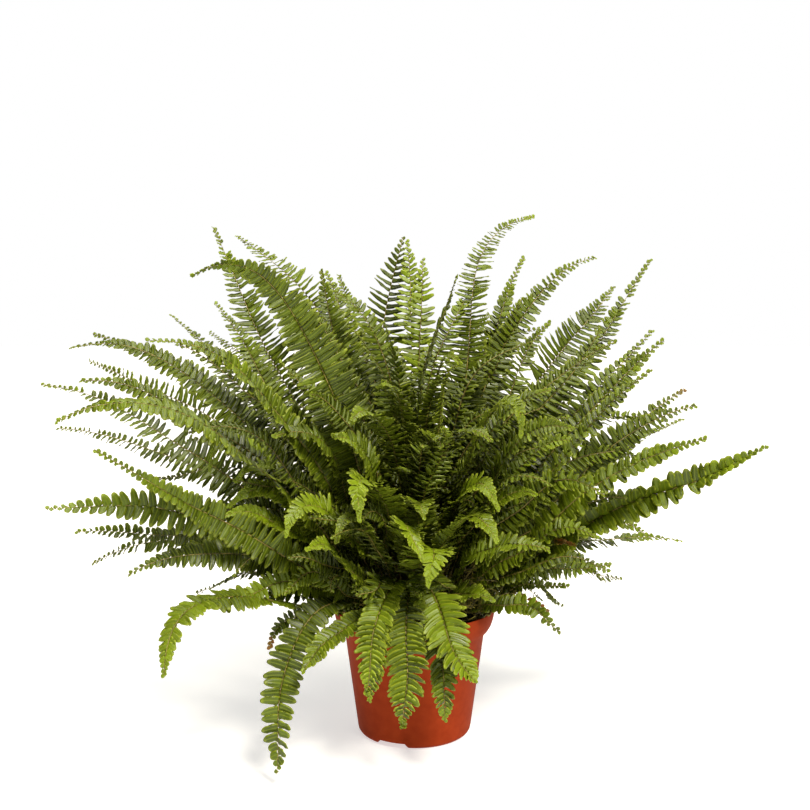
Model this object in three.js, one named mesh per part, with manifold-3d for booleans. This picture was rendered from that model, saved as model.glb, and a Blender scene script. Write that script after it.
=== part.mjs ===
// Potted sword fern: a nursery pot, the potting soil in it, the scaly rootstock
// that stands in the soil, and the fronds that grow out of the rootstock.
//
// Millimetres. +Z is up. The origin is on the pot's axis, in the plane that the
// pot stands on. +X is to the right and -Y is towards whoever looks at the front.

import * as THREE from "three";
import { mergeVertices } from "three/addons/utils/BufferGeometryUtils.js";
import Module from "manifold-3d";

const DEG = Math.PI / 180;

// ---------------------------------------------------------------- sizes

const POT = {
  height: 135,
  wall: 1.6,
  segments: 60,
  rimRadius: 85,
  rimFootRadius: 80,
  rimFootHeight: 115,
  neckRadius: 73.5,
  neckHeight: 107.5,
  footRadius: 60,
  cornerRadius: 6.5,
};

const BASE = {
  ringInnerRadius: 44,
  channelRise: 4,
  discRadius: 18,
  slope: 1.5,
  holes: 6,
  holeRadius: 4,
  holeCircle: 31,
};

// The notches go through the foot ring, so that water drains out of the channel.
const NOTCH = { count: 3, azimuth: 245.6, bottomWidth: 38, topWidth: 30, height: 6, depth: 18 };

const SOIL = { level: 124, gap: 0.3 };

const ROOTSTOCK = { radius: 46, height: 24, gap: 0.3, segments: 28, rings: 7 };

const STIPE = { halfWidth: 1.2, share: 0.14, seatGap: 0.35, rings: 3 };

const BLADE = { rings: 13, halfThickness: 0.8, tipHalfWidth: 0.8, peak: 0.9 };

// How far the fronds at the sides turn their upper faces to the front, where
// the light comes from. One whose tip hangs at more than a slope turns as it tips over.
const TURN_TO_LIGHT = 58;
const HANGING_SLOPE = -60;

// Handles of a frond's spine, as shares of the distance from seat to tip.
const SPINE = { seatHandle: 0.42, tipHandle: 0.32 };

// One row a frond: azimuth about the pot's axis (0 is +X, 90 is +Y), rise of the
// stipe where it leaves the rootstock, reach of the tip from the axis, height of
// the tip, slope of the blade at the tip (below zero it hangs), width of the
// blade, sway (how far the tip strays to the left of its azimuth), lag (how much
// longer than the others it holds its first direction before it bends) and
// fullness (the higher, the nearer to the tip the blade keeps its width).
const FRONDS = [
  // name            azimuth rise reach height tip width sway lag fullness
  ["frond_top_1", 151, 64, 280, 534, 62, 46, -28, 1, 3],
  ["frond_top_2", 215, 72, 247, 480, -30, 56, 0, 1, 3],
  ["frond_top_3", 141, 82, 262, 527, 22, 44, 0, 1, 4],
  ["frond_top_4", 127, 66, 168, 484, 50, 42, 0, 1, 4],
  ["frond_top_5", 160, 84, 90, 462, 25, 42, 0, 1, 5],
  ["frond_top_6", 120, 70, 134, 523, 98, 46, -62, 1.1, 6],
  ["frond_top_7", 93, 80, 130, 518, 62, 48, 0, 1, 6],
  ["frond_top_8", 100, 84, 110, 499, 65, 44, -32, 1, 6],
  ["frond_top_9", 18, 75, 165, 545, 12, 46, 76, 1.4, 3],
  ["frond_top_10", 42, 72, 168, 499, 50, 42, 0, 1, 3],
  ["frond_top_11", 24, 75, 231, 500, 9, 42, 21, 0.9, 3],
  ["frond_right_1", 40, 64, 312, 467, 38, 50, 0, 1, 4],
  ["frond_right_2", 16, 58, 268, 495, 52, 46, 0, 1, 3],
  ["frond_right_3", 4, 60, 248, 424, 45, 42, 0, 1, 3],
  ["frond_right_4", -14, 58, 250, 418, 41, 42, 0, 1, 3],
  ["frond_right_5", -30, 55, 252, 396, 43, 44, 0, 1, 3],
  ["frond_right_6", 15, 50, 310, 356, 35, 44, 0, 1, 3],
  ["frond_right_7", 0, 47, 292, 345, 15, 44, 0, 1, 3],
  ["frond_right_8", 26, 38, 350, 312, 18, 44, 0, 1, 3],
  ["frond_right_9", -20, 46, 294, 331, 24, 44, 0, 1, 3],
  ["frond_right_10", -10, 38, 353, 313, 26, 46, 0, 1, 4],
  ["frond_right_11", 14, 34, 305, 190, -3, 34, 0, 1, 3],
  ["frond_right_12", -30, 42, 214, 201, -14, 36, 0, 1, 3],
  ["frond_right_13", -35, 30, 177, 137, -28, 34, 0, 1.2, 3],
  ["frond_left_1", 170, 54, 352, 420, 12, 44, 0, 1, 3],
  ["frond_left_2", 185, 57, 348, 407, -10, 44, 0, 1, 3],
  ["frond_left_3", 158, 48, 405, 381, 12, 44, 0, 1, 3],
  ["frond_left_4", 200, 53, 334, 381, 0, 44, 0, 1, 3],
  ["frond_left_5", 178, 44, 390, 366, 12, 44, 0, 1, 3],
  ["frond_left_6", 212, 52, 367, 354, -33, 44, 0, 1, 3],
  ["frond_left_7", 165, 38, 418, 309, 0, 44, 0, 1, 3],
  ["frond_left_8", 146, 54, 345, 433, 38, 44, 0, 1, 3],
  ["frond_left_9", 133, 54, 370, 411, 18, 44, 0, 1, 3],
  ["frond_left_10", 215, 60, 290, 425, 0, 44, 0, 1, 3],
  ["frond_left_11", 212, 36, 336, 331, 38, 40, 0, 1, 3],
  ["frond_left_12", 195, 42, 369, 260, 0, 40, 0, 1, 4],
  ["frond_left_13", 188, 34, 344, 225, -2, 40, 0, 1, 3],
  ["frond_left_14", 175, 29, 349, 170, -32, 38, 0, 1.2, 3],
  ["frond_left_15", 205, 36, 300, 200, -28, 38, 0, 1, 3],
  ["frond_left_16", 213, 17, 302, 134, -78, 26, 60, 1.8, 7],
  ["frond_left_17", 160, 28, 262, 126, -20, 34, 0, 1, 3],
  ["frond_front_1", 224, 34, 199, 13, -80, 36, 15, 1.9, 7],
  ["frond_front_2", 237, 25, 191, 118, -31, 26, 0, 1.1, 7],
  ["frond_front_3", 253, 62, 149, 84, -80, 28, 0, 1.5, 7],
  ["frond_front_4", 253, 67, 160, 97, -78, 34, 0, 1.5, 7],
  ["frond_front_5", 266, 62, 156, 67, -84, 42, 0, 1.5, 7],
  ["frond_front_6", 281, 46, 146, 65, -78, 30, 0, 1.2, 7],
  ["frond_front_7", 268, 80, 154, 106, -50, 40, 60, 1.5, 7],
  ["frond_back_1", 105, 62, 300, 420, 20, 46, 0, 1, 3],
  ["frond_back_2", 72, 62, 300, 430, 15, 46, 0, 1, 3],
  ["frond_back_3", 50, 52, 350, 380, 10, 46, 0, 1, 3],
  ["frond_back_4", 122, 44, 370, 300, -5, 44, 0, 1, 3],
  ["frond_back_5", 92, 42, 360, 290, -10, 44, 0, 1, 3],
  ["frond_back_6", 58, 38, 350, 240, -15, 44, 0, 1, 3],
  ["frond_back_7", 140, 30, 300, 150, -40, 40, 0, 1, 3],
  ["frond_back_8", 105, 28, 270, 120, -60, 40, 0, 1, 3],
  ["frond_back_9", 75, 30, 260, 90, -75, 38, 0, 1, 3],
];

// ------------------------------------------------- solids, cut and joined

const wasm = await Module();
wasm.setup();

/** Leaves out the triangles that a pole of a turned shape squeezes to a line. */
function wholeTriangles(index) {
  const kept = [];
  for (let i = 0; i < index.length; i += 3) {
    const [a, b, c] = index.slice(i, i + 3);
    if (a !== b && b !== c && c !== a) {
      kept.push(a, b, c);
    }
  }
  return kept;
}

/** Turns a closed three.js geometry into a solid that can be cut. */
function toSolid(geometry) {
  const bare = geometry.index ? geometry.toNonIndexed() : geometry.clone();
  bare.deleteAttribute("normal");
  bare.deleteAttribute("uv");
  const merged = mergeVertices(bare, 1e-4);
  const vertProperties = new Float32Array(merged.attributes.position.array);
  const triVerts = new Uint32Array(wholeTriangles(merged.index.array));
  return new wasm.Manifold(new wasm.Mesh({ numProp: 3, vertProperties, triVerts }));
}

/** Turns a solid back into a three.js geometry. */
function toGeometry(solid) {
  const mesh = solid.getMesh();
  const geometry = new THREE.BufferGeometry();
  geometry.setAttribute("position", new THREE.BufferAttribute(mesh.vertProperties, 3));
  geometry.setIndex(new THREE.BufferAttribute(mesh.triVerts, 1));
  return geometry;
}

/** Turns a closed profile of [radius, height] points about the Z axis. */
function turned(profile, segments) {
  const points = profile.map(([radius, height]) => new THREE.Vector2(radius, height));
  return new THREE.LatheGeometry(points, segments).rotateX(90 * DEG);
}

/** Points of a quarter round from one angle to another, in degrees. */
function arc(centreRadius, centreHeight, radius, from, to, steps) {
  return Array.from({ length: steps + 1 }, (_, i) => {
    const angle = (from + ((to - from) * i) / steps) * DEG;
    return [centreRadius + radius * Math.cos(angle), centreHeight + radius * Math.sin(angle)];
  });
}

/** A block with sloping sides, lying along the foot of the pot where a notch is. */
function notchWedge(bottomWidth, topWidth, height, innerRadius, azimuth) {
  const shape = new THREE.Shape([
    new THREE.Vector2(-bottomWidth / 2, -1),
    new THREE.Vector2(bottomWidth / 2, -1),
    new THREE.Vector2(topWidth / 2, height),
    new THREE.Vector2(-topWidth / 2, height),
  ]);
  const depth = POT.footRadius + 5 - innerRadius;
  const wedge = new THREE.ExtrudeGeometry(shape, { depth, bevelEnabled: false });
  // The shape's X runs along the foot, its Y is up, and its depth runs outwards.
  const outward = new THREE.Matrix4().makeBasis(
    new THREE.Vector3(0, 1, 0),
    new THREE.Vector3(0, 0, 1),
    new THREE.Vector3(1, 0, 0),
  );
  return wedge.applyMatrix4(outward).translate(innerRadius, 0, 0).rotateZ(azimuth);
}

// ---------------------------------------------------------------- the pot

/** The underside of the floor: a middle disc, the raised channel and the foot ring. */
function undersideProfile() {
  const { ringInnerRadius, channelRise, discRadius, slope } = BASE;
  return [
    [0, 0],
    [discRadius, 0],
    [discRadius + slope, channelRise],
    [ringInnerRadius - slope, channelRise],
    [ringInnerRadius, 0],
  ];
}

/** The outside of the pot, from the foot's round corner up to the lip. */
function outerProfile() {
  const corner = POT.footRadius - POT.cornerRadius;
  return [
    ...arc(corner, POT.cornerRadius, POT.cornerRadius, -90, 0, 4),
    [POT.neckRadius, POT.neckHeight],
    [POT.rimFootRadius - 1.5, POT.rimFootHeight - 2.5],
    [POT.rimFootRadius + 1.2, POT.rimFootHeight + 2],
    [POT.rimRadius - 1.5, POT.height - 11],
    [POT.rimRadius, POT.height - 1],
    [POT.rimRadius - 0.5, POT.height],
  ];
}

/** The inside of the wall, from the lip down to the foot. */
function innerProfile() {
  const { wall } = POT;
  return [
    [POT.rimRadius - wall, POT.height],
    [POT.rimRadius - 1.5 - wall, POT.height - 11],
    [POT.rimFootRadius + 1.2 - wall, POT.rimFootHeight + 2.6],
    [POT.rimFootRadius - 1.5 - wall, POT.rimFootHeight - 2],
    [POT.neckRadius - wall, POT.neckHeight + 0.6],
    [POT.footRadius - wall, POT.cornerRadius + 1],
    [POT.footRadius - POT.cornerRadius, wall],
  ];
}

/** The upper face of the floor, from the foot in to the axis. */
function floorProfile() {
  const { ringInnerRadius, channelRise, discRadius, slope } = BASE;
  const { wall } = POT;
  const inset = 0.6;
  return [
    [ringInnerRadius + inset, wall],
    [ringInnerRadius - slope + inset, channelRise + wall],
    [discRadius + slope - inset, channelRise + wall],
    [discRadius - inset, wall],
    [0, wall],
  ];
}

/** One hole in the raised part of the floor, as a cutting cylinder. */
function drainHole(azimuth) {
  return new THREE.CylinderGeometry(BASE.holeRadius, BASE.holeRadius, 8, 16)
    .rotateX(90 * DEG)
    .translate(BASE.holeCircle, 0, BASE.channelRise)
    .rotateZ(azimuth);
}

/** The pot: one thin shell with a wide rim, three foot notches and drain holes. */
function potGeometry() {
  const { count, bottomWidth, topWidth, height, depth } = NOTCH;
  const { wall } = POT;
  const shell = [...undersideProfile(), ...outerProfile(), ...innerProfile(), ...floorProfile()];
  const full = toSolid(turned([[0, 0], ...outerProfile(), [0, POT.height]], POT.segments));
  const inner = POT.footRadius - depth;
  let pot = toSolid(turned(shell, POT.segments));
  for (let i = 0; i < count; i += 1) {
    const azimuth = (NOTCH.azimuth + (i * 360) / count) * DEG;
    const slot = notchWedge(bottomWidth, topWidth, height, inner, azimuth);
    const lining = notchWedge(
      bottomWidth + 2 * wall,
      topWidth + 2 * wall,
      height + wall,
      inner - wall,
      azimuth,
    );
    const mouth = notchWedge(topWidth, topWidth, BASE.channelRise, inner - 2 * wall, azimuth);
    pot = pot.add(toSolid(lining).intersect(full)).subtract(toSolid(slot));
    pot = pot.subtract(toSolid(mouth));
  }
  for (let i = 0; i < BASE.holes; i += 1) {
    pot = pot.subtract(toSolid(drainHole(((i + 0.5) * 360 * DEG) / BASE.holes)));
  }
  return toGeometry(pot);
}

// --------------------------------------------------- soil and rootstock

/** The soil: it fills the pot from just above the floor to a little below the rim. */
function soilGeometry() {
  const { gap, level } = SOIL;
  const floor = BASE.channelRise + POT.wall + gap;
  const besideNotches = POT.footRadius - NOTCH.depth - POT.wall - gap;
  const aboveNotches = NOTCH.height + POT.wall + gap;
  const wallPoints = innerProfile()
    .filter(([, height]) => height > aboveNotches && height < level + 1)
    .reverse()
    .map(([radius, height]) => [radius - 1.5 * gap, Math.min(height, level)]);
  return turned(
    [
      [0, floor],
      [besideNotches, floor],
      [besideNotches, aboveNotches],
      [POT.footRadius - POT.wall - 1.5 * gap, aboveNotches + 0.5],
      ...wallPoints,
      [0, level],
    ],
    POT.segments,
  );
}

/** The rootstock: a low dome of old frond bases, resting on the soil. */
function rootstockGeometry() {
  const foot = SOIL.level + ROOTSTOCK.gap;
  const dome = Array.from({ length: ROOTSTOCK.rings + 1 }, (_, i) => {
    const angle = (90 * DEG * i) / ROOTSTOCK.rings;
    const radius = i === ROOTSTOCK.rings ? 0 : ROOTSTOCK.radius * Math.cos(angle);
    return [radius, foot + ROOTSTOCK.height * Math.sin(angle)];
  });
  return turned([[0, foot], ...dome], ROOTSTOCK.segments);
}

// ---------------------------------------------------------------- fronds

/** A unit vector from its azimuth and its elevation, in degrees. */
function direction(azimuth, elevation) {
  const level = Math.cos(elevation * DEG);
  return new THREE.Vector3(
    level * Math.cos(azimuth * DEG),
    level * Math.sin(azimuth * DEG),
    Math.sin(elevation * DEG),
  );
}

/** The place on the dome where the dome faces the way the stipe leaves it. */
function seatOnRootstock(azimuth, rise) {
  const { radius, height, gap } = ROOTSTOCK;
  const out = direction(azimuth, rise);
  const stretched = new THREE.Vector3(out.x * radius, out.y * radius, out.z * height);
  const seat = new THREE.Vector3(
    out.x * radius * radius,
    out.y * radius * radius,
    out.z * height * height,
  ).divideScalar(stretched.length());
  seat.z += SOIL.level + gap;
  return seat.addScaledVector(out, STIPE.seatGap);
}

/** The midline of one frond, from its seat to its tip. */
function spineCurve({ azimuth, rise, reach, height, tip, sway, lag }) {
  const seat = seatOnRootstock(azimuth, rise);
  const sideways = direction(azimuth + 90, 0);
  const end = direction(azimuth, 0).multiplyScalar(reach);
  end.z = height;
  const span = seat.distanceTo(end);
  const straight = SPINE.seatHandle * lag * span;
  const first = seat.clone().addScaledVector(direction(azimuth, rise), straight);
  const second = end.clone().addScaledVector(direction(azimuth, tip), -SPINE.tipHandle * span);
  end.addScaledVector(sideways, sway);
  second.addScaledVector(sideways, sway * 0.45);
  return new THREE.CubicBezierCurve3(seat, first, second, end);
}

/** Half the width of the frond's outline at a share of its length. */
function halfWidthAt(share, { width, fullness }) {
  if (share <= STIPE.share) {
    return STIPE.halfWidth;
  }
  const along = (share - STIPE.share) / (1 - STIPE.share);
  const outline = ((1 - along ** fullness) * (1 - (1 - along) ** 6)) / BLADE.peak;
  const least = along > 0.5 ? BLADE.tipHalfWidth : STIPE.halfWidth;
  return Math.max((width / 2) * outline, least);
}

/** The shares of the length where the frond has a section. */
function sectionShares() {
  const stipe = Array.from({ length: STIPE.rings }, (_, i) => (STIPE.share * i) / STIPE.rings);
  const blade = Array.from({ length: BLADE.rings }, (_, i) => {
    return STIPE.share + ((1 - STIPE.share) * i) / (BLADE.rings - 1);
  });
  return [...stipe, ...blade];
}

/** The turn of the blade's upper face to the light where the spine runs along a direction. */
function turnToLight(along, { azimuth, rise, tip }) {
  const turn = TURN_TO_LIGHT * Math.cos(azimuth * DEG) * DEG;
  if (tip > HANGING_SLOPE) {
    return turn;
  }
  const slope = Math.asin(along.z) / DEG;
  return turn * THREE.MathUtils.clamp((rise - slope) / (rise - tip), 0, 1);
}

/** One frond: a thin closed blade of four-cornered sections along its spine. */
function frondGeometry(frond) {
  const spine = spineCurve(frond);
  const sideways = direction(frond.azimuth + 90, 0);
  const corners = [];
  for (const share of sectionShares()) {
    const centre = spine.getPointAt(share);
    const along = spine.getTangentAt(share);
    const across = sideways.clone().addScaledVector(along, -sideways.dot(along)).normalize();
    across.applyAxisAngle(along, turnToLight(along, frond));
    const up = new THREE.Vector3().crossVectors(along, across);
    const half = halfWidthAt(share, frond);
    const thick = share <= STIPE.share ? STIPE.halfWidth : BLADE.halfThickness;
    corners.push(centre.clone().addScaledVector(across, -half));
    corners.push(centre.clone().addScaledVector(up, thick));
    corners.push(centre.clone().addScaledVector(across, half));
    corners.push(centre.clone().addScaledVector(up, -thick));
  }
  return skinned(corners, 4);
}

/** Closes a row of equal rings of corners into one solid. */
function skinned(corners, sides) {
  const rings = corners.length / sides;
  const index = [];
  for (let ring = 0; ring + 1 < rings; ring += 1) {
    for (let side = 0; side < sides; side += 1) {
      const a = ring * sides + side;
      const b = ring * sides + ((side + 1) % sides);
      index.push(a, a + sides, b, b, a + sides, b + sides);
    }
  }
  const last = (rings - 1) * sides;
  for (let side = 1; side + 1 < sides; side += 1) {
    index.push(0, side, side + 1);
    index.push(last, last + side + 1, last + side);
  }
  const geometry = new THREE.BufferGeometry().setFromPoints(corners);
  geometry.setIndex(index);
  return geometry;
}

// ---------------------------------------------------------------- assembly

const MATERIALS = {
  pot: new THREE.MeshStandardMaterial({ color: 0xa9482a, roughness: 0.62, metalness: 0 }),
  soil: new THREE.MeshStandardMaterial({ color: 0x2a2019, roughness: 0.95, metalness: 0 }),
  rootstock: new THREE.MeshStandardMaterial({ color: 0x5a4020, roughness: 0.9, metalness: 0 }),
  frond: new THREE.MeshStandardMaterial({ color: 0x64702f, roughness: 0.55, metalness: 0 }),
};

/** A named mesh of one piece. */
function piece(name, geometry, material) {
  geometry.computeVertexNormals();
  const mesh = new THREE.Mesh(geometry, material);
  mesh.name = name;
  return mesh;
}

const plant = new THREE.Group();
plant.add(piece("nursery_pot", potGeometry(), MATERIALS.pot));
plant.add(piece("potting_soil", soilGeometry(), MATERIALS.soil));
plant.add(piece("rootstock", rootstockGeometry(), MATERIALS.rootstock));
for (const [name, azimuth, rise, reach, height, tip, width, sway, lag, fullness] of FRONDS) {
  const frond = { azimuth, rise, reach, height, tip, width, sway, lag, fullness };
  plant.add(piece(name, frondGeometry(frond), MATERIALS.frond));
}

export default plant;
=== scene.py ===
"""Looks of a potted sword fern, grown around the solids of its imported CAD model.

Each frond of the CAD model is a plain blade. Here it becomes a real frond: a midrib with
some hundred leaflets. Smaller inner fronds, the crown, the runners and the peat are added,
and the pot gets its moulded plastic. Sizes are in millimetres until a mesh is made.
"""

import logging
import math
from dataclasses import dataclass, field, fields, replace
from enum import Enum

import bpy
import numpy as np
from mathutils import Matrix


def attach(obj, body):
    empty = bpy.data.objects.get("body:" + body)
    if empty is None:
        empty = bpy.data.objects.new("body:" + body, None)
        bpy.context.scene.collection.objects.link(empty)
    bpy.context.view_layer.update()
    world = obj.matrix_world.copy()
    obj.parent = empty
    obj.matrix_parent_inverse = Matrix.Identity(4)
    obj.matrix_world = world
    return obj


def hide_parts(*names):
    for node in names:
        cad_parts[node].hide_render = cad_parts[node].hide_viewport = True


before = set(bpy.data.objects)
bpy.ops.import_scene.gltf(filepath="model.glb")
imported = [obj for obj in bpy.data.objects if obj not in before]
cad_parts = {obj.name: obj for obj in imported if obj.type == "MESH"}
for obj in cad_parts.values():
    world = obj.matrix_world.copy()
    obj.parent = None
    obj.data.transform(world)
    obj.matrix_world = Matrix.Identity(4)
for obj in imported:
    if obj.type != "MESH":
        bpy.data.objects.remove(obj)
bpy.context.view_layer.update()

MM = 0.001
TINY = 1e-12
BODY = "root"
UP = np.array([0.0, 0.0, 1.0])
# range of the chance phase of a wave, in radians
PHASES = (0.0, 6.0)
# lines that rise more steeply than this on average get their rings another guide
STEEP = 0.8
log = logging.getLogger("fern")

Array = np.ndarray


# ---------------------------------------------------------------- small helpers


def unit(vectors: Array) -> Array:
    """Vectors along the last axis, each divided by its length."""
    return vectors / np.maximum(np.linalg.norm(vectors, axis=-1, keepdims=True), TINY)


def square_to(vectors: Array, axis: Array) -> Array:
    """Unit vectors that are square to the unit axis: each loses its share along it."""
    along = np.sum(vectors * axis, axis=-1, keepdims=True)
    return unit(vectors - along * axis)


def turn(vectors: Array, axis: Array, angle: Array | float) -> Array:
    """Turns vectors about unit axes that are square to them.

    Args:
        vectors: unit vectors, square to their axes.
        axis: unit axes.
        angle: angles in radians, one or one for each vector.

    Returns:
        vector * cos(angle) + (axis x vector) * sin(angle).
    """
    angle = np.asarray(angle)[..., None]
    return vectors * np.cos(angle) + np.cross(axis, vectors) * np.sin(angle)


def smooth_step(values: Array, low: float, high: float) -> Array:
    """0 below low, 1 above high, and 3 t^2 - 2 t^3 between them."""
    t = np.clip((values - low) / (high - low), 0.0, 1.0)
    return t * t * (3.0 - 2.0 * t)


def through(values: Array, places: Array, wanted: Array) -> Array:
    """A smooth line through given values: a cubic between each two, whose slopes at both
    ends are the slopes of the neighbouring values.

    Args:
        values: the values, along the first axis.
        places: where on the line each value is, rising.
        wanted: the places to work the line out at.

    Returns:
        The values at the wanted places.
    """
    slopes = np.gradient(values, places, axis=0)
    left = np.clip(np.searchsorted(places, wanted, side="right") - 1, 0, len(places) - 2)
    gap = places[left + 1] - places[left]
    t = (wanted - places[left]) / gap
    if values.ndim > 1:
        t, gap = t[:, None], gap[:, None]
    start = (1 + 2 * t) * (1 - t) ** 2 * values[left] + t * (1 - t) ** 2 * gap * slopes[left]
    end = t * t * (3 - 2 * t) * values[left + 1] - t * t * (1 - t) * gap * slopes[left + 1]
    return start + end


def arc_lengths(line: Array) -> Array:
    """How far along a line each of its points lies, from 0."""
    steps = np.linalg.norm(np.diff(line, axis=0), axis=1)
    return np.concatenate([[0.0], np.cumsum(steps)])


def level_ways(angle: float) -> tuple[Array, Array]:
    """Two level unit vectors: one at an angle in radians from +X, and one to its left."""
    out = np.array([math.cos(angle), math.sin(angle), 0.0])
    return out, np.array([-out[1], out[0], 0.0])


def hoops(rings: int, spokes: int) -> tuple[Array, Array, Array]:
    """Numbers the points of closed hoops and joins each hoop to the next by faces.

    Args:
        rings: how many hoops there are.
        spokes: how many points a hoop has.

    Returns:
        Each point's number by ring and spoke, that of the next point of its hoop, and the
        faces.
    """
    grid = np.arange(rings * spokes).reshape(rings, spokes)
    right = np.roll(grid, -1, axis=1)
    faces = np.stack([grid[:-1], grid[1:], right[1:], right[:-1]], -1).reshape(-1, 4)
    return grid, right, faces


def linear(code: str) -> tuple[float, float, float, float]:
    """A colour's linear light, by the curve that sRGB is defined with.

    Args:
        code: an sRGB hex colour such as "#9c4123".

    Returns:
        Linear red, green and blue, and an alpha of 1.
    """
    shares = [int(code[i : i + 2], 16) / 255 for i in (1, 3, 5)]
    made = [s / 12.92 if s <= 0.04045 else ((s + 0.055) / 1.055) ** 2.4 for s in shares]
    return (*made, 1.0)


def add_object(name: str, data: bpy.types.ID) -> bpy.types.Object:
    """Shows a mesh, lamp or camera in the scene.

    Args:
        name: the object's name.
        data: its mesh, lamp or camera data.

    Returns:
        The object.
    """
    made = bpy.data.objects.new(name, data)
    bpy.context.scene.collection.objects.link(made)
    return made


def empty_tree(owner: bpy.types.ID) -> bpy.types.NodeTree:
    """Gives a material or world an empty node tree.

    Args:
        owner: the material or world.

    Returns:
        The tree.
    """
    owner.use_nodes = True
    owner.node_tree.nodes.clear()
    return owner.node_tree


def add_node(
    tree: bpy.types.NodeTree,
    kind: str,
    inputs: dict | None = None,
    stops: list | None = None,
    **settings: object,
) -> bpy.types.Node:
    """Adds one node with its settings, values and links.

    Args:
        tree: the node tree.
        kind: the node's type name.
        inputs: for each input, by name or number, its value, or what is linked to it: a
            socket, or a node's first output.
        stops: (place, hex colour) pairs of a colour ramp.
        settings: the node's own settings.

    Returns:
        The node.
    """
    made = tree.nodes.new(kind)
    for key, value in settings.items():
        setattr(made, key, value)
    for key, value in (inputs or {}).items():
        if isinstance(value, bpy.types.Node):
            value = value.outputs[0]
        if isinstance(value, bpy.types.NodeSocket):
            tree.links.new(value, made.inputs[key])
        else:
            made.inputs[key].default_value = value
    if stops:
        ramp = made.color_ramp.elements
        while len(ramp) < len(stops):
            ramp.new(0.5)
        for element, (place, code) in zip(ramp, stops):
            element.position = place
            element.color = linear(code)
    return made


# ---------------------------------------------------------------- meshes


@dataclass
class Surface:
    """A mesh in the making: points, four-cornered faces and what the finish reads."""

    points: Array
    faces: Array
    uv: Array
    vigour: Array
    dryness: Array
    underside: Array
    finish: Array

    # what the leaflets' finish reads, a value for each point
    FIELDS = ("vigour", "dryness", "underside")

    @classmethod
    def of(
        cls,
        points: Array,
        faces: Array,
        uv: Array | None = None,
        vigour: Array | float = 0.5,
        dryness: Array | float = 0.0,
        underside: Array | float = 0.0,
        finish: int = 0,
    ) -> "Surface":
        """A surface whose fields are filled up to one value for each point or face.

        Args:
            points: the points, in millimetres.
            faces: four point numbers a face.
            uv: place of each point in the pattern.
            vigour: how young each point's tissue is, from 0 to 1, set lower where painted shade
                darkens it.
            dryness: how dried it is, from 0 to 1.
            underside: 1 on a leaf's lower side.
            finish: which of the object's materials the faces have.

        Returns:
            The surface.
        """
        n = len(points)
        return cls(
            points,
            faces,
            np.zeros((n, 2)) if uv is None else uv,
            np.broadcast_to(vigour, n).copy(),
            np.broadcast_to(dryness, n).copy(),
            np.broadcast_to(underside, n).copy(),
            np.full(len(faces), finish),
        )

    @classmethod
    def joined(cls, parts: list["Surface"]) -> "Surface":
        """Several surfaces as one, with the face numbers moved on.

        Args:
            parts: the surfaces.

        Returns:
            One surface.
        """
        starts = np.cumsum([0] + [len(p.points) for p in parts[:-1]])
        moved = [replace(p, faces=p.faces + s) for p, s in zip(parts, starts)]
        return cls(*(np.concatenate([getattr(p, f.name) for p in moved]) for f in fields(cls)))

    def to_object(self, name: str, materials: list[bpy.types.Material]) -> bpy.types.Object:
        """Makes the Blender object, smooth shaded, with its UV map and attributes.

        Args:
            name: the piece's name.
            materials: the materials that the finish numbers stand for.

        Returns:
            The object, at the origin.
        """
        mesh = bpy.data.meshes.new(name)
        mesh.vertices.add(len(self.points))
        mesh.vertices.foreach_set("co", (self.points * MM).astype(np.float32).ravel())
        mesh.loops.add(self.faces.size)
        mesh.loops.foreach_set("vertex_index", self.faces.astype(np.int32).ravel())
        mesh.polygons.add(len(self.faces))
        corners = self.faces.shape[1]
        starts = np.arange(len(self.faces), dtype=np.int32) * corners
        mesh.polygons.foreach_set("loop_start", starts)
        mesh.polygons.foreach_set("material_index", self.finish.astype(np.int32))
        mesh.polygons.foreach_set("use_smooth", np.ones(len(self.faces), bool))
        mesh.update(calc_edges=True)
        layer = mesh.uv_layers.new(name="UVMap")
        layer.data.foreach_set("uv", self.uv[self.faces.ravel()].astype(np.float32).ravel())
        for title in self.FIELDS:
            attribute = mesh.attributes.new(title, "FLOAT", "POINT")
            attribute.data.foreach_set("value", getattr(self, title).astype(np.float32))
        for material in materials:
            mesh.materials.append(material)
        return add_object(name, mesh)


def tube(line: Array, radius: Array, sides: int) -> tuple[Array, Array, Array]:
    """A closed round tube along a line: at each point a ring of radius times
    (cos, sin) of the angle, in the plane square to the line.

    Args:
        line: the points of the line.
        radius: the radius at each point.
        sides: corners of a ring, an even number.

    Returns:
        Points, faces and UV (along, around).
    """
    along = unit(np.gradient(line, axis=0))
    steep = abs(along[:, 2]).mean() >= STEEP
    guide = np.array([1.0, 0.0, 0.0]) if steep else UP
    first = square_to(np.broadcast_to(guide, along.shape), along)
    second = np.cross(along, first)
    angle = np.arange(sides) * math.tau / sides
    ring = (
        first[:, None] * np.cos(angle)[None, :, None]
        + second[:, None] * np.sin(angle)[None, :, None]
    )
    points = (line[:, None] + ring * radius[:, None, None]).reshape(-1, 3)
    grid, _, walls = hoops(len(line), sides)
    fan = np.array([[0, i, i + 1, i + 2] for i in range(1, sides - 2, 2)])
    faces = np.concatenate([walls[:, [0, 3, 2, 1]], fan[:, ::-1], fan + grid[-1, 0]])
    uv = np.stack(
        np.meshgrid(np.linspace(0, 1, len(line)), np.arange(sides) / sides, indexing="ij"), -1
    )
    return points, faces, uv.reshape(-1, 2)


# ---------------------------------------------------------------- finishes


MATH = "ShaderNodeMath"
MIX = "ShaderNodeMix"
RANGE = "ShaderNodeMapRange"
PRINCIPLED = "ShaderNodeBsdfPrincipled"


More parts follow.
